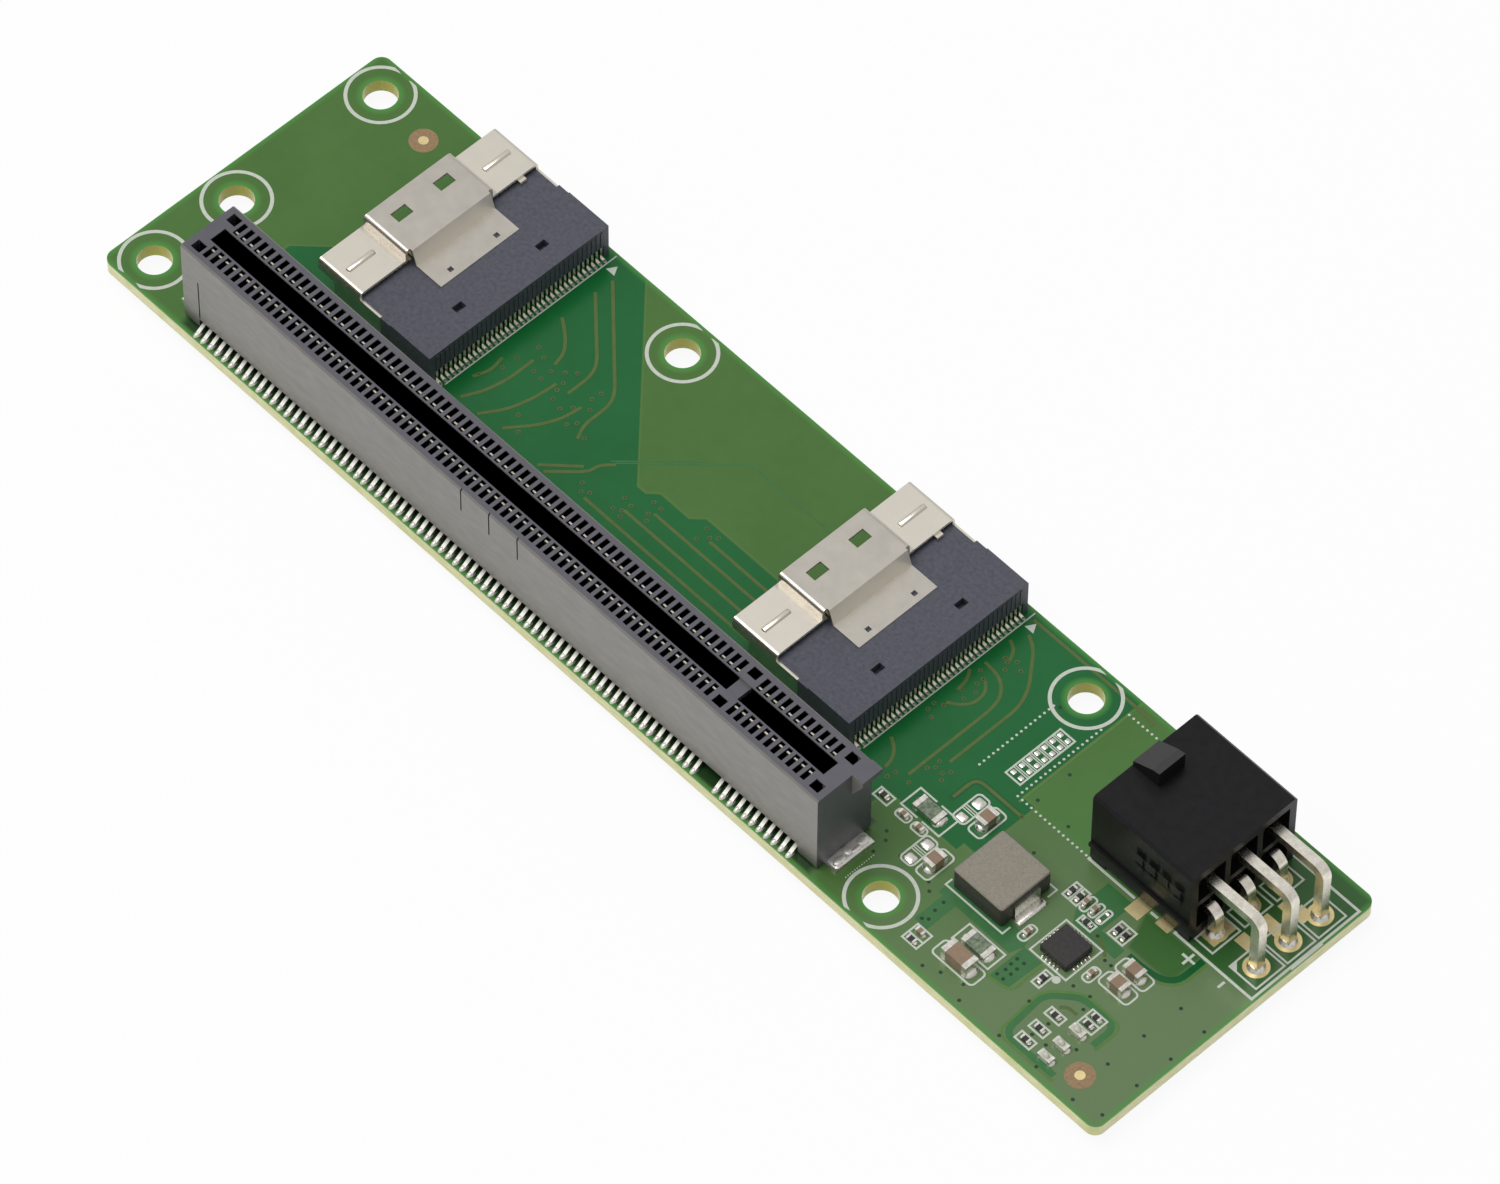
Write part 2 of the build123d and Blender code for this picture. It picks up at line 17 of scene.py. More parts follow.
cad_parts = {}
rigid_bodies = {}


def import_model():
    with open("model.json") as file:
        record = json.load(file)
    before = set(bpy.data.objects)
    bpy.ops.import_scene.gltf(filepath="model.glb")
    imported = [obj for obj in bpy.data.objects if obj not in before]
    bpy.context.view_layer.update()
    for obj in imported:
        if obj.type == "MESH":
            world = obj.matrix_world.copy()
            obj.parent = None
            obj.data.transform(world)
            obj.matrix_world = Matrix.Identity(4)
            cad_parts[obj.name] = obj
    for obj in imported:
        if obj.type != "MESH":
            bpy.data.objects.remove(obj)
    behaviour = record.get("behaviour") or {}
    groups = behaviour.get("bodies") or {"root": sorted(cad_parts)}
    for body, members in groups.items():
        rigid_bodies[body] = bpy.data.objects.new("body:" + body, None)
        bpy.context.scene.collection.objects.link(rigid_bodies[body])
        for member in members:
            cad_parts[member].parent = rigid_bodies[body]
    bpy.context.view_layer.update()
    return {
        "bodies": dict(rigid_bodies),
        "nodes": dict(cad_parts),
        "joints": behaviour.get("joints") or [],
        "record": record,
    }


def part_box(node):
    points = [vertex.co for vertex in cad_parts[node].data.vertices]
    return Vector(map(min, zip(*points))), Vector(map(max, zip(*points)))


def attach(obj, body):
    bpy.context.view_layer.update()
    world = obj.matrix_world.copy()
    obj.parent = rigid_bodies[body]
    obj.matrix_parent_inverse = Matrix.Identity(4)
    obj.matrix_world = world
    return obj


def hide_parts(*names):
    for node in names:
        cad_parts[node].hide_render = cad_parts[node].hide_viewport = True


log = logging.getLogger("riser_card")

MM = 0.001
BODY = "root"

Point = tuple[float, float]
Size = tuple[float, float, float]
Colour = tuple[float, float, float]


def smooth(points: list[Point], reach: float = 1.1) -> list[Point]:
    """Round a route's inner corners, with its ends kept.

    Args:
        points: the route's corners.
        reach: how far from a corner its rounding starts, in millimetres.

    Returns:
        The rounded route.
    """
    just_under_half = 1 / 2.1
    rounded = [points[0]]
    for before, (x, y), after in zip(points, points[1:], points[2:]):
        ends = []
        for other_x, other_y in (before, after):
            length = math.hypot(other_x - x, other_y - y)
            share = min(reach / length, just_under_half)
            ends.append((x + (other_x - x) * share, y + (other_y - y) * share))
        (ax, ay), (bx, by) = ends
        for step in (0.0, 0.25, 0.5, 0.75, 1.0):
            keep = 1 - step
            rounded.append((
                keep * keep * ax + 2 * keep * step * x + step * step * bx,
                keep * keep * ay + 2 * keep * step * y + step * step * by))
    return [*rounded, points[-1]]


def ribbon(points: list[Point], width: float) -> list[Point]:
    """Give the closed outline of a flat ribbon along a route.

    Args:
        points: the route.
        width: the ribbon's width.

    Returns:
        The outline, out along one side and back along the other.
    """
    left, right = [], []
    for i, (x, y) in enumerate(points):
        ahead = points[min(i + 1, len(points) - 1)]
        behind = points[max(i - 1, 0)]
        turns = []
        for (ax, ay), (bx, by) in ((behind, (x, y)), ((x, y), ahead)):
            length = math.hypot(bx - ax, by - ay)
            if length > 0:
                turns.append(((ay - by) / length, (bx - ax) / length))
        across_x, across_y = (sum(part) / len(turns) for part in zip(*turns))
        mitre = width / 2 / (across_x * across_x + across_y * across_y)
        across_x, across_y = across_x * mitre, across_y * mitre
        left.append((x + across_x, y + across_y))
        right.append((x - across_x, y - across_y))
    return left + right[::-1]


def to_linear(red: int, green: int, blue: int) -> Colour:
    """Turn a display colour into the linear one that a shader takes.

    Args:
        red: display red, 0 to 255.
        green: display green, 0 to 255.
        blue: display blue, 0 to 255.

    Returns:
        The linear red, green and blue, 0 to 1.
    """
    parts = [value / 255 for value in (red, green, blue)]
    return tuple(v / 12.92 if v <= 0.04045 else ((v + 0.055) / 1.055) ** 2.4 for v in parts)


@dataclass
class Datum:
    """The board's drawing datum: the middle of the slot's key, on the board's top face.

    Places on the board are in millimetres from it, x along the slot, y to the far
    edge and z up, and `at` turns them into metres in the frame.
    """

    from_left_edge: float = 84.87
    from_near_edge: float = 4.71
    from_right_edge: float = field(init=False)
    from_far_edge: float = field(init=False)
    thickness: float = field(init=False)
    origin: Vector = field(init=False)

    def __post_init__(self) -> None:
        """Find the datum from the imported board."""
        low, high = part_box("board")
        self.origin = Vector((low.x + self.from_left_edge * MM, low.y + self.from_near_edge * MM, high.z))
        length, width, self.thickness = (high - low) / MM
        self.from_right_edge = length - self.from_left_edge
        self.from_far_edge = width - self.from_near_edge

    def at(self, x: float, y: float, z: float = 0.0) -> Vector:
        """Give the frame's point for a place in millimetres from the datum."""
        return self.origin + Vector((x, y, z)) * MM


class Bench:
    """Modelling moves, each made with Blender's own operators. Lengths are in metres."""

    @staticmethod
    def clear_selection() -> None:
        """Deselect everything and leave edit mode."""
        if bpy.context.object and bpy.context.object.mode != "OBJECT":
            bpy.ops.object.mode_set(mode="OBJECT")
        bpy.ops.object.select_all(action="DESELECT")

    @staticmethod
    def pick(*pieces: bpy.types.Object) -> None:
        """Select these pieces only, and make the first one active.

        Args:
            pieces: one piece or more.
        """
        Bench.clear_selection()
        for piece in pieces:
            piece.select_set(True)
        bpy.context.view_layer.objects.active = pieces[0]

    @staticmethod
    @contextmanager
    def editing(piece: bpy.types.Object) -> Iterator[None]:
        """Hold the whole of a piece in edit mode for the mesh operators of a `with` block.

        Args:
            piece: the piece, which comes out of the block active and in object mode.

        Yields:
            Nothing.
        """
        Bench.pick(piece)
        bpy.ops.object.mode_set(mode="EDIT")
        bpy.ops.mesh.select_all(action="SELECT")
        yield
        bpy.ops.object.mode_set(mode="OBJECT")

    @staticmethod
    def extrude_up(height: float) -> None:
        """Extrude what is selected in edit mode upward."""
        bpy.ops.mesh.extrude_region_move(TRANSFORM_OT_translate={"value": (0, 0, height)})

    @staticmethod
    def turn_out() -> None:
        """Turn all faces in edit mode outward."""
        bpy.ops.mesh.select_all(action="SELECT")
        bpy.ops.mesh.normals_make_consistent(inside=False)

    @staticmethod
    def soften(piece: bpy.types.Object, degrees: float) -> bpy.types.Object:
        """Shade a piece smooth where its faces meet at less than an angle.

        Args:
            piece: the piece.
            degrees: the angle.

        Returns:
            The piece.
        """
        Bench.pick(piece)
        bpy.ops.object.shade_smooth_by_angle(angle=math.radians(degrees))
        return piece

    @staticmethod
    def rename(piece: bpy.types.Object, name: str) -> bpy.types.Object:
        """Give a piece and its mesh one name, and return the piece."""
        piece.name = piece.data.name = name
        return piece

    @staticmethod
    def settle(piece: bpy.types.Object) -> bpy.types.Object:
        """Put a piece's place, turn and scale into its mesh.

        Args:
            piece: the piece.

        Returns:
            The piece, at the origin.
        """
        Bench.pick(piece)
        bpy.ops.object.transform_apply(location=True, rotation=True, scale=True)
        return piece

    @staticmethod
    def join(name: str, pieces: list[bpy.types.Object]) -> bpy.types.Object:
        """Join pieces into one.

        Args:
            name: the joined piece's name.
            pieces: what is joined.

        Returns:
            The joined piece, at the origin.
        """
        Bench.pick(*pieces)
        bpy.ops.object.join()
        return Bench.settle(Bench.rename(bpy.context.object, name))

    @staticmethod
    def slab(centre: Vector, length: float, width: float) -> bpy.types.Object:
        """Add a flat rectangle.

        Args:
            centre: its middle.
            length: along x.
            width: along y.

        Returns:
            The settled rectangle.
        """
        bpy.ops.mesh.primitive_plane_add(size=1, location=centre)
        piece = bpy.context.object
        piece.scale = (length, width, 1)
        return Bench.settle(piece)

    @staticmethod
    def bar(centre: Vector, size: Size) -> bpy.types.Object:
        """Add a box.

        Args:
            centre: its middle.
            size: along x, y and z.

        Returns:
            The settled box.
        """
        bpy.ops.mesh.primitive_cube_add(size=1, location=centre)
        piece = bpy.context.object
        piece.scale = size
        return Bench.settle(piece)

    @staticmethod
    def disc(centre: Vector, radius: float, sides: int = 24) -> bpy.types.Object:
        """Add a flat filled disc."""
        bpy.ops.mesh.primitive_circle_add(vertices=sides, radius=radius, fill_type="NGON", location=centre)
        return bpy.context.object

    @staticmethod
    def hollow(piece: bpy.types.Object, line: float) -> bpy.types.Object:
        """Inset a flat piece and delete its middle.

        Args:
            piece: the flat piece.
            line: the width of the border that stays.

        Returns:
            The border.
        """
        with Bench.editing(piece):
            bpy.ops.mesh.inset(thickness=line)
            bpy.ops.mesh.delete(type="FACE")
        return piece

    @staticmethod
    def ring(centre: Vector, outer: float, inner: float, sides: int = 72) -> bpy.types.Object:
        """Add a flat ring of two radii."""
        return Bench.hollow(Bench.settle(Bench.disc(centre, outer, sides)), outer - inner)

    @staticmethod
    def round_corners(piece: bpy.types.Object, radius: float) -> bpy.types.Object:
        """Round the corners of a flat rectangle.

        Args:
            piece: the rectangle.
            radius: of its corners.

        Returns:
            The rectangle.
        """
        with Bench.editing(piece):
            bpy.ops.mesh.bevel(offset=radius, segments=5, affect="VERTICES")
        return piece

    @staticmethod
    def dome(centre: Vector, radii: Size, rings: int = 6) -> bpy.types.Object:
        """Add the upper half of an ellipsoid on a level plane.

        Args:
            centre: the middle of its base.
            radii: its half-sizes along x, y and z.
            rings: how finely it is divided.

        Returns:
            The closed half, shaded smooth.
        """
        bpy.ops.mesh.primitive_uv_sphere_add(
            segments=2 * rings, ring_count=rings, radius=1, location=centre)
        piece = bpy.context.object
        piece.scale = radii
        Bench.settle(piece)
        Bench.cut(piece, centre, (0, 0, -1), True)
        return Bench.soften(piece, 50)

    @staticmethod
    def cushion(centre: Vector, size: Size) -> bpy.types.Object:
        """Add a low domed pad: a rounded rectangle, extruded and then drawn in twice at its top.

        Args:
            centre: the middle of its underside.
            size: along x and y, and its height at the middle.

        Returns:
            The closed pad, shaded smooth.
        """
        length, width, height = size
        corner, draw = (share * min(length, width) for share in (0.26, 0.11))
        wall, shoulder, crown = (share * height for share in (0.3, 0.45, 0.25))
        piece = Bench.round_corners(Bench.slab(centre, length, width), corner)
        with Bench.editing(piece):
            Bench.extrude_up(wall)
            for rise in (shoulder, crown):
                bpy.ops.mesh.inset(thickness=draw, depth=rise)
            Bench.turn_out()
        return Bench.soften(piece, 60)

    @staticmethod
    def block(low: Vector, high: Vector, corner: float, edge: float) -> bpy.types.Object:
        """Add an upright block with rounded corners and a narrow chamfer round its top.

        Args:
            low: its low corner.
            high: its high corner.
            corner: the radius of its upright edges, more than the chamfer's width.
            edge: the chamfer's width.

        Returns:
            The closed block.
        """
        middle, size = (low + high) / 2, high - low
        piece = Bench.slab(Vector((middle.x, middle.y, low.z)), size.x, size.y)
        Bench.round_corners(piece, corner)
        with Bench.editing(piece):
            Bench.extrude_up(size.z - edge)
            bpy.ops.mesh.inset(thickness=edge, depth=edge)
            Bench.turn_out()
        return Bench.soften(piece, 30)

    @staticmethod
    def flat(name: str, outline: list[Vector], height: float) -> bpy.types.Object:
        """Fill a closed level outline and give it a height.

        Args:
            name: the piece's name.
            outline: its corners at the piece's underside.
            height: how thick it is.

        Returns:
            A closed mesh.
        """
        Bench.clear_selection()
        curve = bpy.data.curves.new(name, "CURVE")
        curve.dimensions = "2D"
        curve.fill_mode = "BOTH"
        curve.extrude = height / 2
        spline = curve.splines.new("POLY")
        spline.points.add(len(outline) - 1)
        for point, corner in zip(spline.points, outline):
            point.co = (corner.x, corner.y, 0, 1)
        spline.use_cyclic_u = True
        piece = bpy.data.objects.new(name, curve)
        bpy.context.scene.collection.objects.link(piece)
        piece.location.z = outline[0].z + height / 2
        Bench.pick(piece)
        bpy.ops.object.convert(target="MESH")
        piece = Bench.settle(bpy.context.object)
        with Bench.editing(piece):
            bpy.ops.mesh.remove_doubles(threshold=0.0002 * MM)
            Bench.turn_out()
        return piece

    @staticmethod
    def raise_up(piece: bpy.types.Object, height: float) -> bpy.types.Object:
        """Extrude a flat piece upward, and turn its faces outward.

        Args:
            piece: the flat piece.
            height: how far.

        Returns:
            The closed piece.
        """
        with Bench.editing(piece):
            Bench.extrude_up(height)
            Bench.turn_out()
        return piece

    @staticmethod
    def cut(piece: bpy.types.Object, point: Vector, normal: Size, fill: bool) -> None:
        """Cut away what lies on the normal's side of a plane.

        Args:
            piece: the piece to cut.
            point: a point on the plane.
            normal: the plane's normal.
            fill: whether the cut is closed with a face.
        """
        with Bench.editing(piece):
            bpy.ops.mesh.bisect(plane_co=point, plane_no=normal, use_fill=fill, clear_outer=True)

    @staticmethod
    def copies(piece: bpy.types.Object, places: list[Matrix], name: str) -> bpy.types.Object:
        """Put a copy of a piece at each place, and join them.

        Args:
            piece: a settled piece, modelled about the origin, which is used up.
            places: where each copy goes.
            name: the joined piece's name.

        Returns:
            The joined piece.
        """
        made = []
        for place in places:
            twin = piece.copy()
            twin.data = piece.data.copy()
            twin.matrix_world = place
            bpy.context.scene.collection.objects.link(twin)
            made.append(twin)
        bpy.data.objects.remove(piece)
        return Bench.join(name, made)

    @staticmethod
    def row(piece: bpy.types.Object, count: int, step: Vector) -> bpy.types.Object:
        """Repeat a piece in a straight row with an applied Array modifier.

        Args:
            piece: the first of the row.
            count: how many there are.
            step: from each to the next.

        Returns:
            The row as one piece.
        """
        Bench.pick(piece)
        array = piece.modifiers.new("row", "ARRAY")
        array.count = count
        array.use_relative_offset = False
        array.use_constant_offset = True
        array.constant_offset_displace = step
        bpy.ops.object.modifier_apply(modifier=array.name)
        return piece


class Signal:
    """A shader value that Python's operators work on."""

    def __init__(self, tree: bpy.types.NodeTree, socket: bpy.types.NodeSocket) -> None:
        """Wrap one output socket of a node tree."""
        self.tree = tree
        self.socket = socket

    def math(self, operation: str, *others: Signal | float) -> Signal:
        """Add one Math node on this value.

        Args:
            operation: the Math node's operation.
            others: its further inputs, as signals or numbers.

        Returns:
            The node's result.
        """
        node = self.tree.nodes.new("ShaderNodeMath")
        node.operation = operation
        for socket, value in zip(node.inputs, (self, *others)):
            if isinstance(value, Signal):
                self.tree.links.new(value.socket, socket)
            else:
                socket.default_value = value
        return Signal(self.tree, node.outputs[0])

    def __add__(self, other: Signal | float) -> Signal:
        """Add."""
        return self.math("ADD", other)

    __radd__ = __add__

    def __sub__(self, other: Signal | float) -> Signal:
        """Subtract."""
        return self.math("SUBTRACT", other)

    def __rsub__(self, other: float) -> Signal:
        """Subtract from a number."""
        return self.math("MULTIPLY", -1.0).math("ADD", other)

    def __mul__(self, other: Signal | float) -> Signal:
        """Multiply."""
        return self.math("MULTIPLY", other)

    __rmul__ = __mul__

    def least(self, *others: Signal | float) -> Signal:
        """Take the least of this value and others."""
        return reduce(lambda low, other: low.math("MINIMUM", other), others, self)

    def most(self, *others: Signal | float) -> Signal:
        """Take the greatest of this value and others."""
        return reduce(lambda high, other: high.math("MAXIMUM", other), others, self)

    def size(self) -> Signal:
        """Take the value without its sign."""
        return self.math("ABSOLUTE")

    def over(self, edge: float, soft: float) -> Signal:
        """Go from 0 to 1 as the value passes an edge, over a soft width."""
        return ((self - (edge - soft / 2)) * (1 / soft)).most(0.0).least(1.0)


@dataclass(frozen=True)
class Finish:
    """One surface finish: a colour with mottling and grain on a Principled shader.

    Lengths are in millimetres. `mottle` is how far the colour wanders, `grain`
    how deep the fine bump is.
    """

    name: str
    colour: Colour
    roughness: float = 0.5
    metallic: float = 0.0
    mottle: float = 0.1
    mottle_size: float = 2.0
    tint: Colour | None = None
    grain: float = 0.01
    grain_size: float = 0.08
    rough_spread: float = 0.08
    coat: float = 0.0
    coat_roughness: float = 0.2
    specular: float = 0.5


class Nodes:
    """The node tree of a material or of the world, emptied and built anew."""

    def __init__(self, holder: bpy.types.Material | bpy.types.World) -> None:
        """Empty a material's or world's tree.

        Args:
            holder: the material or the world.
        """
        holder.use_nodes = True
        self.tree = holder.node_tree
        self.tree.nodes.clear()

    def add(
        self, kind: str, settings: dict[str, object], sockets: dict[str | int, object],
    ) -> bpy.types.Node:
        """Add a node.

        Args:
            kind: the node's type.
            settings: its own settings, set first.
            sockets: values, sockets or signals for its inputs, by their names or numbers.

        Returns:
            The node.
        """
        node = self.tree.nodes.new(kind)
        for key, value in settings.items():
            setattr(node, key, value)
        for key, value in sockets.items():
            self.feed(node.inputs[key], value)
        return node

    def feed(self, socket: bpy.types.NodeSocket, value: object) -> None:
        """Link a socket or signal, or set a plain value, on an input socket.

        Args:
            socket: the input.
            value: what goes into it.
        """
        if isinstance(value, Signal):
            self.tree.links.new(value.socket, socket)
        elif isinstance(value, bpy.types.NodeSocket):
            self.tree.links.new(value, socket)
        elif isinstance(value, tuple) and socket.type == "RGBA":
            socket.default_value = (*value, 1.0)
        else:
            socket.default_value = value

    def signal(self, node: bpy.types.Node, output: str | int) -> Signal:
        """Give an output of a node as a signal."""
        return Signal(self.tree, node.outputs[output])

    def parts(self, vector: bpy.types.NodeSocket) -> tuple[Signal, ...]:
        """Give the x, y and z of a vector."""
        split = self.add("ShaderNodeSeparateXYZ", {}, {"Vector": vector})
        return tuple(self.signal(split, axis) for axis in range(3))


class Shader(Nodes):
    """A material under construction, on a Principled shader."""

    def __init__(self, name: str, datum: Datum) -> None:
        """Start a material whose positions are in millimetres from the datum.

        Args:
            name: the material's name.
            datum: the board's datum.
        """
        self.material = bpy.data.materials.new(name)
        super().__init__(self.material)
        self.body = self.add("ShaderNodeBsdfPrincipled", {}, {})
        self.add("ShaderNodeOutputMaterial", {}, {0: self.body.outputs[0]})
        coordinates = self.add("ShaderNodeTexCoord", {}, {})
        self.place = self.add("ShaderNodeMapping", {}, {
            "Vector": coordinates.outputs["Object"],
            "Location": tuple(-value / MM for value in datum.origin),
            "Scale": (1 / MM, 1 / MM, 1 / MM)}).outputs[0]

    def axes(self) -> tuple[Signal, ...]:
        """Give x, y and z in millimetres from the datum."""
        return self.parts(self.place)

    def facing(self) -> tuple[Signal, ...]:
        """Give the parts of the true surface normal along x, y and z."""
        return self.parts(self.add("ShaderNodeNewGeometry", {}, {}).outputs["True Normal"])

    def noise(self, size: float, detail: float = 3.0, stretch: Size = (1, 1, 1)) -> Signal:
        """Give noise, 0 to 1, whose blots are about so many millimetres.

        Args:
            size: the blots' size.
            detail: the noise's octaves.
            stretch: how much finer it is along each axis.

        Returns:
            The noise.
        """
        place = self.place
        if stretch != (1, 1, 1):
            place = self.add("ShaderNodeMapping", {}, {"Vector": place, "Scale": stretch}).outputs[0]
        node = self.add("ShaderNodeTexNoise", {}, {"Vector": place, "Scale": 1 / size, "Detail": detail})
        return self.signal(node, "Fac")

    def blend(self, first: object, second: object, factor: Signal | float) -> bpy.types.NodeSocket:
        """Mix two colours by a factor, on the colour sockets of a Mix node."""
        sockets = {"Factor": factor, 6: first, 7: second}
        return self.add("ShaderNodeMix", {"data_type": "RGBA"}, sockets).outputs[2]

    def bump(self, height: Signal, depth: float) -> None:
        """Feed the shader's normal from a height of 0 to 1, so many millimetres deep."""
        sockets = {"Height": height, "Distance": depth * MM, "Strength": 1.0}
        self.feed(self.body.inputs["Normal"], self.add("ShaderNodeBump", {}, sockets).outputs[0])

    def colour(self) -> bpy.types.NodeSocket:
        """Give what feeds the base colour so far."""
        return self.body.inputs["Base Color"].links[0].from_socket

    def paint(self, colour: object) -> bpy.types.Material:
        """Feed the base colour, and return the material."""
        self.feed(self.body.inputs["Base Color"], colour)
        return self.material

    def apply(self, finish: Finish) -> Shader:
        """Dress the shader in a finish.

        Args:
            finish: the colour, roughness and grain that it takes.

        Returns:
            The shader.
        """
        dark = tuple(value * (1 - finish.mottle) for value in finish.colour)
        light = finish.tint or tuple(min(1.0, value * (1 + finish.mottle)) for value in finish.colour)
        self.paint(self.blend(dark, light, self.noise(finish.mottle_size, 5.0).over(0.5, 0.45)))
        grain = self.noise(finish.grain_size, 2.0)
        smoothest = finish.roughness - finish.rough_spread / 2
        for name, value in {
            "Roughness": grain * finish.rough_spread + smoothest,
            "Metallic": finish.metallic,
            "Specular IOR Level": finish.specular,
            "Coat Weight": finish.coat,
            "Coat Roughness": finish.coat_roughness,
        }.items():
            self.feed(self.body.inputs[name], value)
        self.bump(grain, finish.grain)
        return self


class Metal(Enum):
    """The bare metals on the board."""

    TIN = Finish(
        "tinned_metal", to_linear(228, 222, 209), 0.26, 1.0, 0.14, 0.6, grain=0.002, grain_size=0.14)
    CONTACT = Finish("slot_contact_metal", to_linear(190, 184, 170), 0.38, 1.0, 0.15, 0.4, grain=0.004)
    NICKEL = Finish(
        "nickel_sheet", to_linear(196, 190, 180), 0.3, 1.0, 0.06, 1.5, grain=0.004, grain_size=0.06)
    GOLD = Finish(
        "gold_plate", to_linear(218, 200, 148), 0.42, 0.75, 0.1, 0.8, grain=0.004, grain_size=0.1)
    SOLDER = Finish(
        "solder", to_linear(218, 215, 206), 0.28, 1.0, 0.2, 0.35, grain=0.005, grain_size=0.35)
    FILLET = Finish(
        "solder_fillet", to_linear(226, 223, 214), 0.36, 0.6, 0.12, 0.5, grain=0.004, grain_size=0.3)


class Plastic(Enum):
    """The mouldings and packages."""

    SLOT = Finish(
        "slot_moulding", to_linear(72, 71, 80), 0.36, 0.0, 0.1, 1.2, grain=0.006, grain_size=0.09,
        specular=0.9)
    PORT = Finish("port_moulding", to_linear(72, 73, 84), 0.5, 0.0, 0.26, 0.4, grain=0.01, grain_size=0.1)
    HEADER = Finish(
        "header_moulding", to_linear(24, 22, 24), 0.34, 0.0, 0.25, 1.0, grain=0.005, grain_size=0.1,
        specular=0.17)
    CHIP = Finish(
        "chip_moulding", to_linear(54, 51, 50), 0.5, 0.0, 0.25, 0.4, grain=0.012, grain_size=0.1,
        specular=0.3)
    LENS = Finish("led_lens", to_linear(206, 206, 190), 0.25, 0.0, 0.12, 0.3, grain=0.004, grain_size=0.2)


class Mineral(Enum):
    """Ceramic, glazed and pressed bodies."""

    POWDER = Finish(
        "inductor_powder", to_linear(146, 139, 126), 0.5, 0.1, 0.09, 0.3, grain=0.02, grain_size=0.12,
        specular=0.35)
    CERAMIC = Finish("capacitor_ceramic", to_linear(146, 122, 98), 0.35, 0.0, 0.1, 0.5, grain=0.004)
    FILM = Finish("resistor_film", to_linear(42, 40, 42), 0.3, 0.0, 0.2, 0.3, grain=0.004)
    FUSE = Finish(
        "fuse_body", to_linear(84, 108, 82), 0.22, 0.0, 0.3, 0.35, to_linear(150, 160, 136), grain=0.008)


class Ink(Enum):
    """What is printed, etched or plated on the board's face."""

    WHITE = Finish(
        "print_white", to_linear(206, 211, 198), 0.6, 0.0, 0.07, 0.4, grain=0.003, grain_size=0.1,
        specular=0.3)
    TRACE = Finish("buried_trace", to_linear(88, 106, 52), 0.3, 0.0, 0.1, 0.8, grain=0.002, specular=0.35)
    CHANNEL = Finish(
        "bare_channel", to_linear(20, 92, 44), 0.22, 0.0, 0.08, 1.5, grain=0.002, specular=0.36)
    SHADE = Finish(
        "covered_copper", to_linear(62, 116, 66), 0.22, 0.0, 0.08, 1.5, grain=0.002, specular=0.36)
    EDGING = Finish(
        "copper_edging", to_linear(88, 126, 60), 0.3, 0.0, 0.08, 1.0, grain=0.002, specular=0.35)
    VIA = Finish("tented_via", to_linear(80, 100, 50), 0.35, 0.0, 0.25, 0.3, grain=0.006, specular=0.35)
    DARK_VIA = Finish("dark_via", to_linear(24, 58, 32), 0.35, 0.0, 0.2, 0.3, grain=0.006, specular=0.35)
    BARE = Finish(
        "bare_laminate", to_linear(150, 122, 88), 0.55, 0.0, 0.2, 0.3, grain=0.01, grain_size=0.2)


class Workshop:
    """Keeps the datum and the materials, and files every finished piece."""

    def __init__(self, frame: dict) -> None:
        """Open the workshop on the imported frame.
        """
        self.nodes = frame["nodes"]
        self.datum = Datum()
        self.shelf: dict[str, bpy.types.Material] = {}

    def material(self, option: Enum) -> bpy.types.Material:
        """Give the material of a finish, making it the first time.

        Args:
            option: the finish, by its name.

        Returns:
            The material.
        """
        finish = option.value
        if finish.name not in self.shelf:
            self.shelf[finish.name] = Shader(finish.name, self.datum).apply(finish).material
        return self.shelf[finish.name]

    def dress(self, material: bpy.types.Material, *nodes: str) -> None:
        """Give CAD nodes their better material.

        Args:
            material: the material.
            nodes: the nodes' names.
        """
        for node in nodes:
            for slot in self.nodes[node].material_slots:
                slot.material = material
            log.info("dressed %s in %s", node, material.name)

    def file(self, piece: bpy.types.Object, finish: Enum | bpy.types.Material, slot: str) -> None:
        """Give a new piece its material and body.

        Args:
            piece: the finished piece.
            finish: its finish, or a material of its own.
            slot: the record's slot, which is not used.
        """
        piece.data.materials.clear()
        piece.data.materials.append(self.material(finish) if isinstance(finish, Enum) else finish)
        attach(piece, BODY)
        log.info("made %s: %d faces", piece.name, len(piece.data.polygons))

    def boxes(self, node: str) -> list[tuple[Vector, Vector]]:
        """Give the box of each separate solid in a CAD node.

        Args:
            node: the CAD node's name.

        Returns:
            The low and high corner of each, in metres.
        """
        twin = self.nodes[node].copy()
        twin.data = twin.data.copy()
        bpy.context.scene.collection.objects.link(twin)
        with Bench.editing(twin):
            bpy.ops.mesh.remove_doubles(threshold=0.001 * MM)
            bpy.ops.mesh.separate(type="LOOSE")
        found = []
        for solid in list(bpy.context.selected_objects):
            corners = [solid.matrix_world @ vertex.co for vertex in solid.data.vertices]
            found.append(tuple(Vector([end(part) for part in zip(*corners)]) for end in (min, max)))
            bpy.data.objects.remove(solid)
        return sorted(found, key=lambda box: tuple(box[0]))


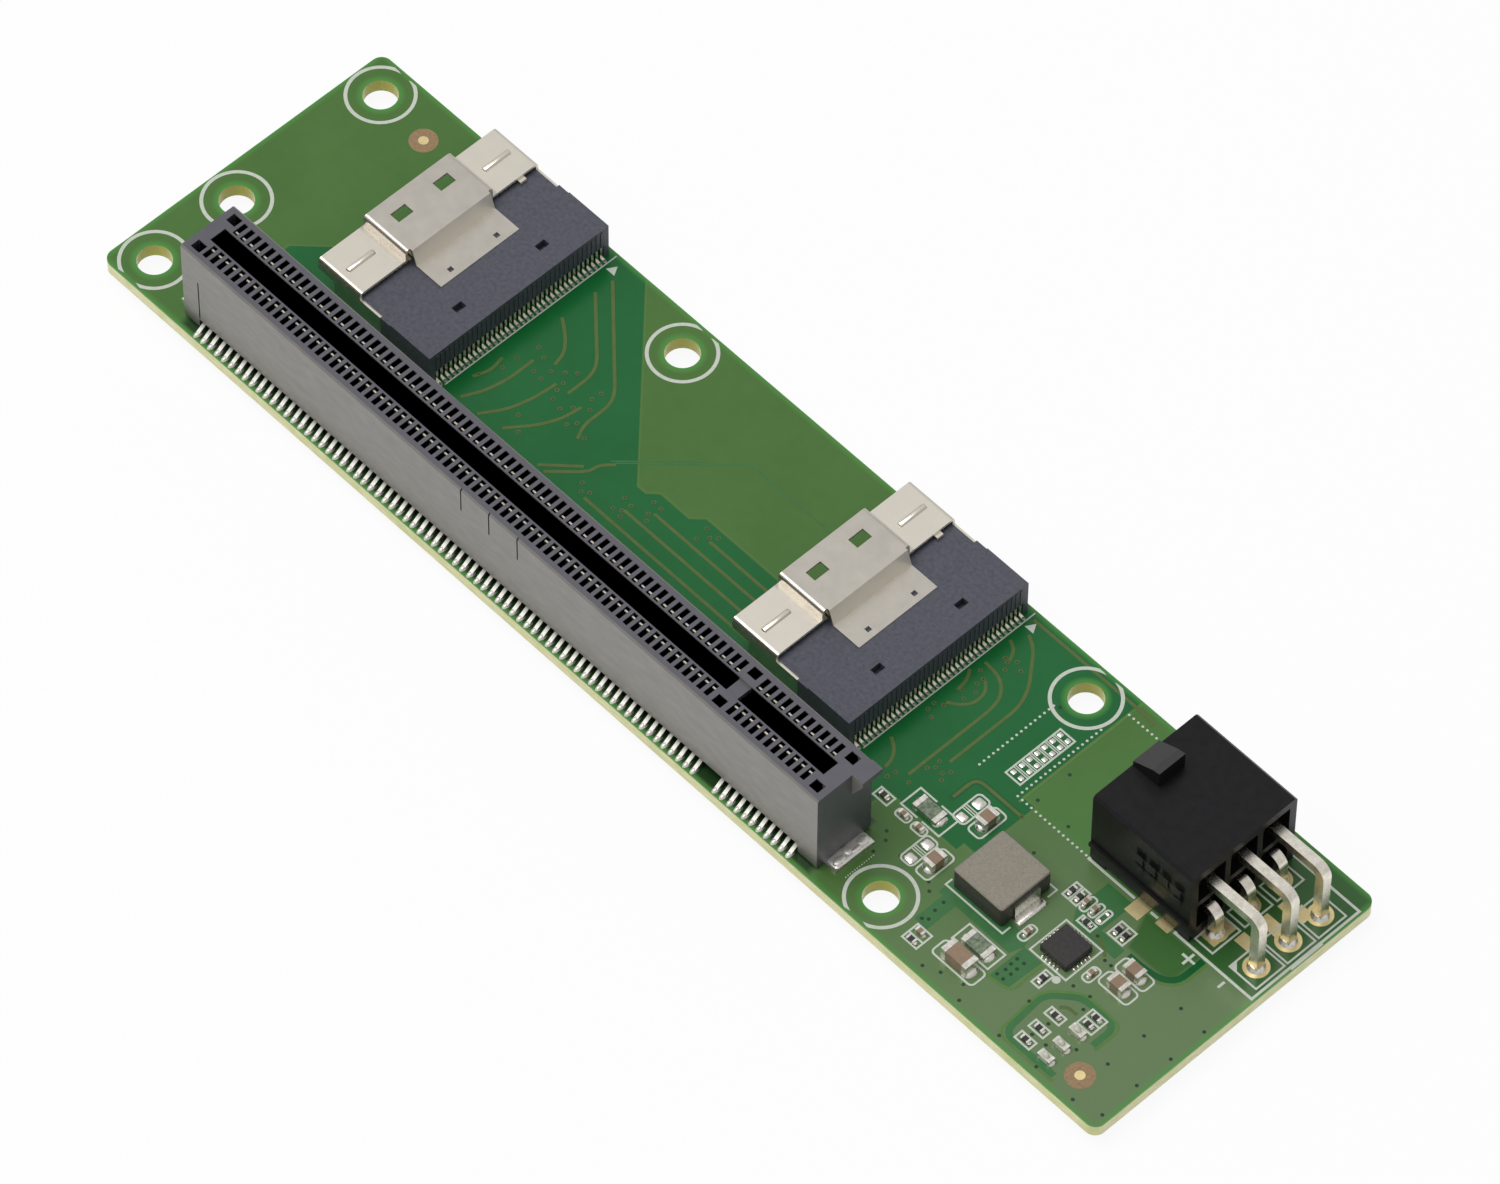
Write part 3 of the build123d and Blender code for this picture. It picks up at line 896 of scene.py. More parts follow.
@dataclass(frozen=True)
class Lacquer:
    """The board's finish: its lacquer over copper and over bare laminate, its cut edges, and the painted light
    on its top.

    Lengths are in millimetres.
    """

    copper: Colour = to_linear(70, 112, 48)
    copper_light: Colour = to_linear(82, 121, 58)
    bare: Colour = to_linear(10, 97, 43)
    bare_light: Colour = to_linear(24, 108, 51)
    # Painted sheen: a paler, greyer green standing in for glare on the power supply's copper.
    supply: Colour = to_linear(104, 129, 87)
    behind_supply: Colour = to_linear(86, 138, 72)
    # Painted shade on the board at the header's rear, among its pins.
    header_shade: Colour = to_linear(52, 98, 46)
    # Painted reflection and shade of the black header, darkening the board in front of it.
    header_reflection: Colour = to_linear(62, 106, 50)
    # Painted shadow on the board along the slot, between its feet.
    slot_shadow: Colour = to_linear(14, 44, 24)
    rim: Colour = to_linear(80, 148, 64)
    edging: Colour = to_linear(92, 124, 62)
    laminate: Colour = to_linear(246, 241, 190)
    weave: Colour = to_linear(222, 220, 140)
    blotch: Colour = to_linear(200, 212, 116)
    hole_wall: Colour = to_linear(214, 210, 96)
    roughness: float = 0.2
    rough_spread: float = 0.05
    specular: float = 0.36
    cloud_size: float = 9.0
    mottle_size: float = 1.3
    weave_size: float = 0.5
    weave_stretch: Size = (0.35, 0.35, 1.6)
    blotch_size: float = 2.4
    ripple_size: float = 2.5
    ripple_depth: float = 0.006
    edging_inset: float = 0.16
    edging_half: float = 0.12
    lit_edge: float = 0.35
    lit_hole: float = 0.45
    wall_reach: float = 0.15
    rim_depth: float = 0.2


@dataclass(frozen=True)
class Rises:
    """How far each kind of mark stands above its film, in millimetres, so that no two coincide."""

    dots: float = 0.003
    rings: float = 0.006
    frames: float = 0.009
    edges: float = 0.004
    channels: float = 0.005
    traces: float = 0.009
    vias: float = 0.014
    eyes: float = 0.018


@dataclass
class BoardFace:
    """The lacquered board with its print, traces, vias and pads. Lengths are in millimetres."""

    shop: Workshop
    tones: Lacquer = Lacquer()
    hole_radius: float = 1.8
    print_height: float = 0.022
    trace_height: float = 0.008
    level_step: float = 0.0006
    levels: int = 7
    frame_levels: int = 5
    rises: Rises = Rises()
    ring_outer: float = 3.65
    ring_inner: float = 3.27
    ring_near_limit: float = -4.45
    ring_far_limit: float = 31.75
    bold: float = 0.28
    line: float = 0.2
    fine: float = 0.13
    corner: float = 0.55
    trace_width: float = 0.34
    edging_width: float = 0.3
    channel_width: float = 0.7
    groove_width: float = 0.16
    via_radius: float = 0.25
    dark_via_radius: float = 0.19
    eye_radius: float = 0.1
    ground_radius: float = 1.48
    mark_radius: float = 0.52
    mark_height: float = 0.03
    dot_share: float = 0.23
    first_pin_mark: Point = (38.55, 4.2)
    first_pin_radius: float = 0.42
    zone_foot: float = 15.9
    header_shade_left: float = 42.4
    # Where the painted reflection and shade of the header lie on the board.
    reflection_near: float = 11.4
    reflection_left: float = 38.6
    reflection_right: float = 46.2
    reflection_slope: float = 0.4
    slot_shade: tuple[float, float, float] = (-73.6, 14.2, 4.3)
    holes: tuple[Point, ...] = (
        (-81.1, 28.45), (-81.1, 9.5), (-81.1, -1.2), (-37.77, 28.45), (17.85, 28.45), (20.77, -1.2))
    fiducials: tuple[Point, ...] = ((-74.03, 27.7), (47.53, -1.53))

    def build(self) -> None:
        """Make the lacquer and everything flat on it."""
        self.shop.dress(self.lacquer(), "board")
        self.rings()
        self.print_lines()
        self.print_frames()
        self.print_dots()
        self.copper_areas()
        self.traces()
        self.vias()
        self.fiducial_marks()

    def pour(self, x: Signal, y: Signal) -> Signal:
        """Give how far inside a copper area a place is, in millimetres, below 0 outside.

        Args:
            x: the place along the board.
            y: the place across it.

        Returns:
            The distance, roughly.
        """
        # Each area lies where all its bounds are above 0, and `most` opens a corner in them.
        middle = (x + y + 14.8).least((x + 37.0).most(y - 22.0), (x + 35.95).most(y - 20.0), -4.0 - x)
        steps = (y - 14.4).least((y - 15.4).most(y - x - 42.4), (y - 16.58).most(y - x - 38.4))
        left_end = (-64.0 - x).least(y - x - 82.9).most(-73.4 - x)
        right_end = (x - 21.75).most((x - 12.5).least(7.6 - y)).least((x - 23.4).most(y - 16.2, 8.6 - y))
        return middle.least(steps).most(left_end, right_end, 1.0 - y)

    def hole_distance(self, x: Signal, y: Signal) -> Signal:
        """Give how far a place is from the middle of the nearest screw hole, in millimetres.

        Args:
            x: the place along the board.
            y: the place across it.

        Returns:
            The distance.
        """
        reaches = []
        for hole_x, hole_y in self.holes:
            along, across = x - hole_x, y - hole_y
            reaches.append((along * along + across * across).math("SQRT"))
        return reaches[0].least(*reaches[1:])

    def supply_painted_light(self, shader: Shader, x: Signal, y: Signal) -> bpy.types.NodeSocket:
        """Give the copper's colour at the power supply and around its header, with a painted sheen on the
        supply's copper, painted shade at the header's rear and a painted reflection and shade of the header in
        front of it.

        Args:
            shader: the board's shader.
            x: the place along the board.
            y: the place across it.

        Returns:
            The colour.
        """
        tones = self.tones
        behind = (y - self.zone_foot).over(0.1, 0.4)
        colour = shader.blend(tones.supply, tones.behind_supply, behind)
        # Painted shade on the board at the header's rear.
        colour = shader.blend(colour, tones.header_shade, behind.least((x - self.header_shade_left).over(0.1, 0.4)))
        # Painted reflection and shade of the header on the strip of board in front of it.
        slant = x - self.reflection_left - (self.zone_foot - y) * self.reflection_slope
        beside = (y - self.reflection_near).least(self.reflection_right - x, slant, self.zone_foot - y)
        return shader.blend(colour, tones.header_reflection, beside.over(0.2, 0.5))

    def top_colour(self, shader: Shader, x: Signal, y: Signal) -> bpy.types.NodeSocket:
        """Give the colour of the lacquered top, with its copper areas, their outlines, its lit rims, the
        painted sheen, shade and reflection around the power supply, and a painted shadow along the slot.

        Args:
            shader: the board's shader.
            x: the place along the board.
            y: the place across it.

        Returns:
            The colour.
        """
        tones, datum = self.tones, self.shop.datum
        inside = self.pour(x, y)
        cloud = shader.noise(tones.cloud_size).over(0.52, 0.4) * 0.6
        mottle = shader.noise(tones.mottle_size).over(0.55, 0.5)
        bare = shader.blend(tones.bare, tones.bare_light, cloud + mottle * 0.25)
        copper = shader.blend(tones.copper, tones.copper_light, cloud + mottle * 0.3)
        # Painted sheen on the power supply's copper, fading in toward the board's right end.
        copper = shader.blend(copper, self.supply_painted_light(shader, x, y), (x - y * 0.3).over(24.0, 26.0))
        colour = shader.blend(bare, copper, inside.over(0.0, 0.14))
        outline = 1.0 - (inside - tones.edging_inset).size().over(tones.edging_half, 0.1)
        colour = shader.blend(colour, tones.edging, outline * 0.55)
        to_edge = (x + datum.from_left_edge).least(
            datum.from_right_edge - x, y + datum.from_near_edge, datum.from_far_edge - y)
        at_hole = 1.0 - self.hole_distance(x, y).over(self.hole_radius + tones.lit_hole, 0.6)
        lit = (1.0 - to_edge.over(tones.lit_edge, 0.6)).most(at_hole)
        colour = shader.blend(colour, tones.rim, lit * 0.8)
        # Painted shadow on the board along both sides of the slot, out to its feet.
        left, right, reach = self.slot_shade
        shade = (reach - y.size()).over(0.0, 0.3)
        shade = shade.least((x - left).over(0.0, 0.8), (right - x).over(0.0, 0.8))
        return shader.blend(colour, tones.slot_shadow, shade * 0.8)

    def side_colour(self, shader: Shader) -> bpy.types.NodeSocket:
        """Give the colour of the cut edges: cream laminate, green at the top and yellower in the holes.

        Args:
            shader: the board's shader.

        Returns:
            The colour.
        """
        tones = self.tones
        x, y, z = shader.axes()
        weave = shader.noise(tones.weave_size, 3.0, tones.weave_stretch).over(0.5, 0.3)
        colour = shader.blend(tones.laminate, tones.weave, weave * 0.7)
        colour = shader.blend(colour, tones.blotch, shader.noise(tones.blotch_size).over(0.58, 0.2) * 0.5)
        colour = shader.blend(colour, tones.rim, z.over(-tones.rim_depth, 0.15))
        wall = 1.0 - self.hole_distance(x, y).over(self.hole_radius + tones.wall_reach, 0.1)
        return shader.blend(colour, tones.hole_wall, wall)

    def lacquer(self) -> bpy.types.Material:
        """Make the board's material: green lacquer on top and below, cream laminate at its cut edges.

        Returns:
            The material.
        """
        tones = self.tones
        shader = Shader("lacquered_board", self.shop.datum)
        x, y = shader.axes()[:2]
        level = shader.facing()[2].size().over(0.5, 0.2)
        inputs = shader.body.inputs
        shader.feed(inputs["Roughness"], shader.noise(0.5, 2.0) * tones.rough_spread + tones.roughness)
        shader.feed(inputs["Specular IOR Level"], tones.specular)
        shader.bump(shader.noise(tones.ripple_size, 2.0), tones.ripple_depth)
        return shader.paint(shader.blend(self.side_colour(shader), self.top_colour(shader, x, y), level))

    def lay(self, name: str, outlines: list[list[Point]], height: float, ink: Ink) -> None:
        """Lay filled outlines on the board, each a hair thicker than the last so that none coincide.

        Args:
            name: the joined piece's name.
            outlines: closed outlines in millimetres from the datum.
            height: the ink's thickness in millimetres.
            ink: its finish.
        """
        made = []
        for i, outline in enumerate(outlines):
            thick = (height + (i % self.levels) * self.level_step) * MM
            made.append(Bench.flat(name, [self.shop.datum.at(x, y) for x, y in outline], thick))
        self.shop.file(Bench.join(name, made), ink, "board")

    def press(self, name: str, pieces: list[bpy.types.Object], height: float, finish: Enum) -> None:
        """Join flat pieces, raise them by so many millimetres and file them."""
        self.shop.file(Bench.raise_up(Bench.join(name, pieces), height * MM), finish, "board")

    def rings(self) -> None:
        """Print a ring around each screw hole, clipped short of the board's edges."""
        datum = self.shop.datum
        made = []
        for x, y in self.holes:
            ring = Bench.ring(datum.at(x, y), self.ring_outer * MM, self.ring_inner * MM)
            Bench.cut(ring, datum.at(x, self.ring_far_limit), (0, 1, 0), False)
            Bench.cut(ring, datum.at(x, self.ring_near_limit), (0, -1, 0), False)
            made.append(ring)
        self.press("printed_rings", made, self.print_height + self.rises.rings, Ink.WHITE)

    def print_lines(self) -> None:
        """Print the open lines, the bars and the small filled marks."""
        bold, plain, fine = self.bold, self.line, self.fine
        lines = [
            ([(31.0, 16.45), (31.0, 15.87), (37.1, 15.87)], bold), ([(39.2, 15.87), (40.15, 15.87)], bold),
            ([(42.4, 16.45), (42.4, 15.87), (52.45, 15.87), (52.45, 30.05), (43.6, 30.05)], bold),
            ([(52.64, 20.85), (52.64, 25.0)], plain),
            ([(16.7, 7.4), (14.5, 7.4), (14.5, 10.0), (16.7, 10.0)], plain),
            ([(17.3, 7.4), (19.6, 7.4), (19.6, 10.0), (17.3, 10.0)], plain),
            ([(23.9, 5.0), (23.9, 4.15), (31.45, 4.15), (31.45, 5.2)], plain),
            ([(31.45, 10.05), (31.45, 11.25), (30.5, 11.25)], plain),
            ([(25.3, -1.97), (27.2, -1.97)], plain), ([(43.2, 3.37), (45.1, 3.37)], plain),
            ([(39.07, 11.3), (39.07, 13.2)], plain),
            ([(44.5, 14.75), (46.1, 14.75)], bold), ([(45.3, 13.95), (45.3, 14.6)], bold),
            ([(45.3, 14.9), (45.3, 15.5)], bold), ([(49.4, 14.5), (49.4, 15.4)], bold),
        ]
        lines += [([(feet_x, 9.2), (feet_x, 31.8)], fine) for feet_x in (-50.7, 7.53)]
        lines += [([(18.7, y), (20.3, y)], fine) for y in (11.3, 11.56, 11.82, 4.68, 4.94, 5.2)]
        lines += [([(18.7, start + row * 1.02), (20.65, start + row * 1.02)], fine)
                  for start in (18.02, 18.24) for row in range(6)]
        outlines = [ribbon(path, width) for path, width in lines]
        outlines += [[(x, 30.0), (x + 1.2, 30.0), (x + 0.6, 31.0)] for x in (-50.3, 7.9)]
        outlines.append([(48.5, 16.9), (49.5, 16.9), (48.5, 17.9)])
        self.lay("printed_lines", outlines, self.print_height, Ink.WHITE)

    def print_frames(self) -> None:
        """Print the outlines around the parts: sharp ones, and round ones at the capacitors."""
        sharp = [
            (48.4, 52.05, 25.1, 28.9), (48.4, 52.05, 21.0, 24.85), (48.4, 52.05, 16.85, 20.8),
            (44.0, 46.5, 25.2, 28.9), (44.0, 46.5, 20.95, 24.8), (44.0, 46.5, 16.7, 20.55),
            (11.8, 13.85, 6.15, 7.5), (25.2, 27.3, -2.95, -0.7), (28.5, 33.45, 0.3, 2.8),
            (32.0, 33.0, 11.2, 13.3), (33.05, 34.05, 11.2, 13.3), (35.05, 37.0, 10.1, 11.15),
            (38.0, 40.15, 11.2, 13.3), (34.35, 39.3, 4.7, 9.65), (37.0, 38.2, 2.3, 4.4),
            (43.1, 45.2, 2.2, 4.5), (40.3, 42.4, 0.75, 1.95), (40.3, 42.4, -1.3, -0.1),
            (40.3, 42.4, -3.1, -1.9), (18.6, 20.75, 16.9, 24.3)]
        soft = [
            (14.7, 16.6, 6.05, 7.2), (16.8, 18.7, 6.05, 7.2), (18.6, 20.4, 9.8, 13.7),
            (18.6, 20.4, 3.0, 6.9), (20.65, 22.6, 9.8, 13.7), (20.65, 22.6, 3.0, 6.9),
            (28.2, 33.8, -2.15, 0.05),
            (34.1, 35.1, 11.2, 13.3), (35.2, 36.1, 11.3, 13.3), (36.2, 37.1, 11.3, 13.3),
            (32.4, 33.6, 4.8, 7.0), (39.75, 41.0, 5.95, 8.0), (41.1, 45.15, 8.93, 10.85),
            (41.1, 45.15, 6.75, 8.7)]
        made = []
        for i, (left, right, near, far) in enumerate(sharp + soft):
            centre = self.shop.datum.at((left + right) / 2, (near + far) / 2)
            border = Bench.slab(centre, (right - left) * MM, (far - near) * MM)
            if i >= len(sharp):
                radius = min(self.corner, 0.4 * (right - left), 0.4 * (far - near))
                Bench.round_corners(border, radius * MM)
            Bench.hollow(border, self.line * MM)
            height = self.print_height + self.rises.frames + (i % self.frame_levels) * self.level_step
            made.append(Bench.raise_up(border, height * MM))
        self.shop.file(Bench.join("printed_frames", made), Ink.WHITE, "board")

    def print_dots(self) -> None:
        """Print the dotted lines that mark out the power supply's area, and one round mark."""
        datum = self.shop.datum
        coarse, fine = 0.61, 0.3
        rows = (
            ((16.35, 15.85), (16.35, 26.0), coarse), ((21.38, 16.55), (21.38, 27.0), coarse),
            ((21.98, 30.05), (25.7, 30.05), coarse), ((21.4, 15.95), (30.6, 15.95), coarse),
            ((16.95, -2.1), (16.95, 1.6), fine))
        made = []
        for start, end, pitch in rows:
            way = Vector(end) - Vector(start)
            dot = Bench.disc(datum.at(*start), self.dot_share * pitch * MM, 10)
            step = way.normalized().to_3d() * pitch * MM
            made.append(Bench.row(dot, int(way.length / pitch) + 1, step))
        made.append(Bench.disc(datum.at(*self.first_pin_mark), self.first_pin_radius * MM))
        self.press("printed_dots", made, self.print_height + self.rises.dots, Ink.WHITE)

    def copper_areas(self) -> None:
        """Lay what shows of the small copper areas: their faces, edges and the channels between them."""
        areas = [
            [(33.9, 0.1), (36.1, 0.1), (36.3, 4.6), (33.9, 4.6)],
            [(35.1, 9.75), (40.6, 9.75), (40.6, 11.1), (37.5, 11.1), (37.5, 15.3), (34.2, 15.3),
             (34.2, 11.0)],
            [(24.6, -0.6), (26.3, -0.6), (26.3, 3.9), (25.0, 3.9), (24.6, 3.0)],
            [(24.0, 3.1), (33.4, 3.1), (33.9, 4.6), (33.6, 5.6), (24.0, 5.6)],
        ]
        grooves = [
            [(-32.6, 14.8), (-26.2, 21.3), (-23.6, 24.15), (-12.3, 24.15)],
            [(-33.1, 14.6), (-26.6, 21.4)]]
        moat = [(46.0, 1.6), (46.0, 4.6), (41.6, 4.6), (38.9, 2.2), (39.4, -3.3), (45.9, -3.3)]
        channels = [
            [(22.9, 14.6), (17.3, 14.6), (17.3, 11.2)],
            [(46.4, 15.6), (46.4, 12.4), (45.2, 11.3), (43.2, 11.0), (41.2, 11.0)],
        ]
        edges = [
            [(36.5, 4.4), (36.5, 2.4), (36.7, 0.3), (33.6, -0.15), (33.4, 0.1)],
            [(46.9, 15.6), (46.9, 12.2), (45.4, 10.8), (43.4, 10.5)],
            [(21.95, 30.4), (21.95, 15.6)],
            [(46.5, 1.4), (46.5, 5.0), (41.4, 5.1), (38.5, 2.4), (38.9, -3.8), (46.2, -3.8)],
        ]
        film, rises = self.trace_height, self.rises
        self.lay("bare_areas", areas, 0.5 * film, Ink.SHADE)
        for name, routes, width, height, ink in (
            ("pour_grooves", grooves, self.groove_width, film, Ink.SHADE),
            ("lamp_moat", [moat], self.channel_width, film, Ink.SHADE),
            ("bare_channels", channels, self.channel_width, 0.6 * film + rises.channels, Ink.CHANNEL),
            ("copper_edges", edges, self.edging_width, film + rises.edges, Ink.EDGING)):
            self.lay(name, [ribbon(smooth(route), width) for route in routes], height, ink)

    def traces(self) -> None:
        """Lay the copper traces that show through the lacquer."""
        routes = [
            [(-19.7, 15.0), (-4.0, 15.0)], [(-25.7, 13.4), (-4.0, 13.4)],
            [(-28.0, 11.6), (-4.0, 11.6)], [(-31.7, 9.8), (-4.0, 9.8)],
            [(-37.6, 9.2), (-34.4, 12.3)], [(-36.6, 9.1), (-33.6, 12.2), (-33.5, 13.5), (-32.4, 14.7)],
            [(-48.8, 29.5), (-38.7, 20.4), (-38.0, 19.0), (-38.0, 15.6), (-37.2, 14.1)],
            [(-48.9, 27.3), (-42.4, 21.5), (-41.8, 20.0), (-41.8, 17.1)],
            [(-48.9, 22.9), (-47.1, 21.7), (-45.6, 20.2), (-45.2, 18.5)],
            [(-47.0, 17.4), (-47.0, 14.0), (-47.6, 11.3), (-48.6, 9.3)],
            [(-43.4, 17.1), (-43.6, 14.6), (-44.4, 11.6), (-46.0, 9.1)],
            [(-39.7, 16.9), (-40.0, 14.6), (-41.1, 12.3), (-43.1, 9.7)],
            [(-49.3, 15.4), (-48.9, 13.6), (-49.6, 11.8)],
            [(8.9, 29.6), (10.4, 28.8), (13.4, 25.2), (14.25, 23.0), (14.25, 14.0)],
            [(8.3, 24.4), (10.6, 24.2), (12.2, 22.8), (12.6, 21.0), (12.6, 10.2)],
            [(8.1, 27.9), (9.2, 27.4), (9.8, 26.2)], [(7.9, 22.8), (8.6, 21.8), (8.8, 20.3)],
            [(9.9, 22.9), (10.9, 22.0), (11.0, 20.3), (10.2, 19.2), (9.1, 18.5)],
            [(8.4, 12.0), (9.6, 11.3), (10.3, 10.3), (10.5, 9.2)],
            [(8.0, 31.15), (24.0, 31.15), (24.4, 30.8)],
            [(23.3, 14.6), (17.3, 14.6), (17.3, 11.5)],
            [(39.8, 9.3), (38.6, 10.2), (37.3, 10.2)], [(42.6, 2.9), (41.4, 2.9), (40.9, 2.3)],
        ]
        outlines = [ribbon(smooth(route), self.trace_width) for route in routes]
        self.lay("buried_traces", outlines, self.trace_height + self.rises.traces, Ink.TRACE)

    def vias(self) -> None:
        """Set the lacquered vias, bright ones among the traces and dark ones in the copper areas."""
        traced = (
            (-21, 15.9), (-19.4, 15.9), (-20, 15.3), (-20.8, 14.3), (-26.7, 14.3), (-25.7, 14.3),
            (-26.1, 13), (-25.6, 12.3), (-29, 12.6), (-27.9, 12.4), (-28.1, 11.4), (-28.9, 11),
            (-27.7, 10.8), (-33.1, 10.9), (-31.7, 10.6), (-32.4, 10.1), (-47.8, 18.8), (-46.5, 18.3),
            (-44.9, 17.7), (-46.0, 16.5), (-44.9, 16.4), (-42.8, 16.6), (-42.3, 15.6), (-43.8, 18.6),
            (-42.9, 19.4), (-43.0, 17.6), (-40.2, 16.3), (-41.0, 15.3), (-39.6, 19.4), (-39.7, 18.3),
            (-38.9, 17.3), (-39.2, 14.5), (-38.6, 15.3), (-36.8, 14.6), (-48.4, 14.6), (-49.4, 12.4),
            (-48.3, 16.4), (-41.7, 10.5), (-43.2, 11.9), (9.3, 26.1), (10.4, 26.6),
            (9.8, 25.9), (10.25, 25.15), (11.4, 26.1), (8.7, 23.4), (9.6, 22.9), (9.6, 22.1),
            (10.25, 21.3), (9.1, 20.6), (10, 20), (9.2, 18.1), (8.4, 17.6), (8.5, 16.7), (9.4, 16.3),
            (13.55, 13.35), (15.15, 13.3), (13.8, 12.6), (14.7, 12.6), (13.3, 12), (15.2, 12),
            (11.6, 9.5), (13.3, 9.6), (11.4, 8.6), (23.3, 14.6))
        dark = (
            (48.4, 1.2), (48.5, 5.8), (48.7, 10.4), (52, 10.15), (52, 5.8), (51.9, 1.5), (52, -3.05),
            (48.95, -3.85), (44.1, -3.8), (39.3, -3.9), (34, -3.9), (38.5, 0.75), (42.6, 3.75),
            (34.4, 2.4), (35.2, 2.4), (34.5, 1.6), (35.2, 1.6), (34.3, 0.7), (35.1, 0.7), (34.4, 3.2),
            (35.2, 3.3), (40.1, 9.0), (40.9, 9.0), (40.1, 4.9), (42.0, 5.2), (23.0, 17.0), (27.0, 12.6),
            (27.1, 17.0), (23.0, 21.2), (18.7, 3.3), (22.6, 3.2), (23.4, 2.5), (28.9, -3.7), (25.2, 2.6),
            (25.3, 1.4), (25.6, 0.3), (25.1, -0.1), (33.0, -2.4), (30.6, -3.0), (16.5, 3.5), (15.8, 4.3),
            (16.6, 1.8), (37.7, 10.4), (16.9, 25.9), (41.5, 0.3), (43.0, -1.5), (41.3, -1.6), (45.3, 0.2))
        for name, places, radius, sides, rise, ink in (
            ("traced_vias", traced, self.via_radius, 12, self.rises.vias, Ink.VIA),
            ("copper_vias", dark, self.dark_via_radius, 12, self.rises.vias, Ink.DARK_VIA),
            ("via_eyes", traced, self.eye_radius, 8, self.rises.eyes, Ink.DARK_VIA)):
            discs = [Bench.disc(self.shop.datum.at(x, y), radius * MM, sides) for x, y in places]
            self.press(name, discs, self.trace_height + rise, ink)

    def fiducial_marks(self) -> None:
        """Set the two camera marks: a gold dot in a disc of bare laminate."""
        for name, radius, height, finish in (
            ("mark_grounds", self.ground_radius, self.trace_height, Ink.BARE),
            ("mark_dots", self.mark_radius, self.mark_height, Metal.GOLD)):
            discs = [Bench.disc(self.shop.datum.at(x, y), radius * MM, 40) for x, y in self.fiducials]
            self.press(name, discs, height, finish)


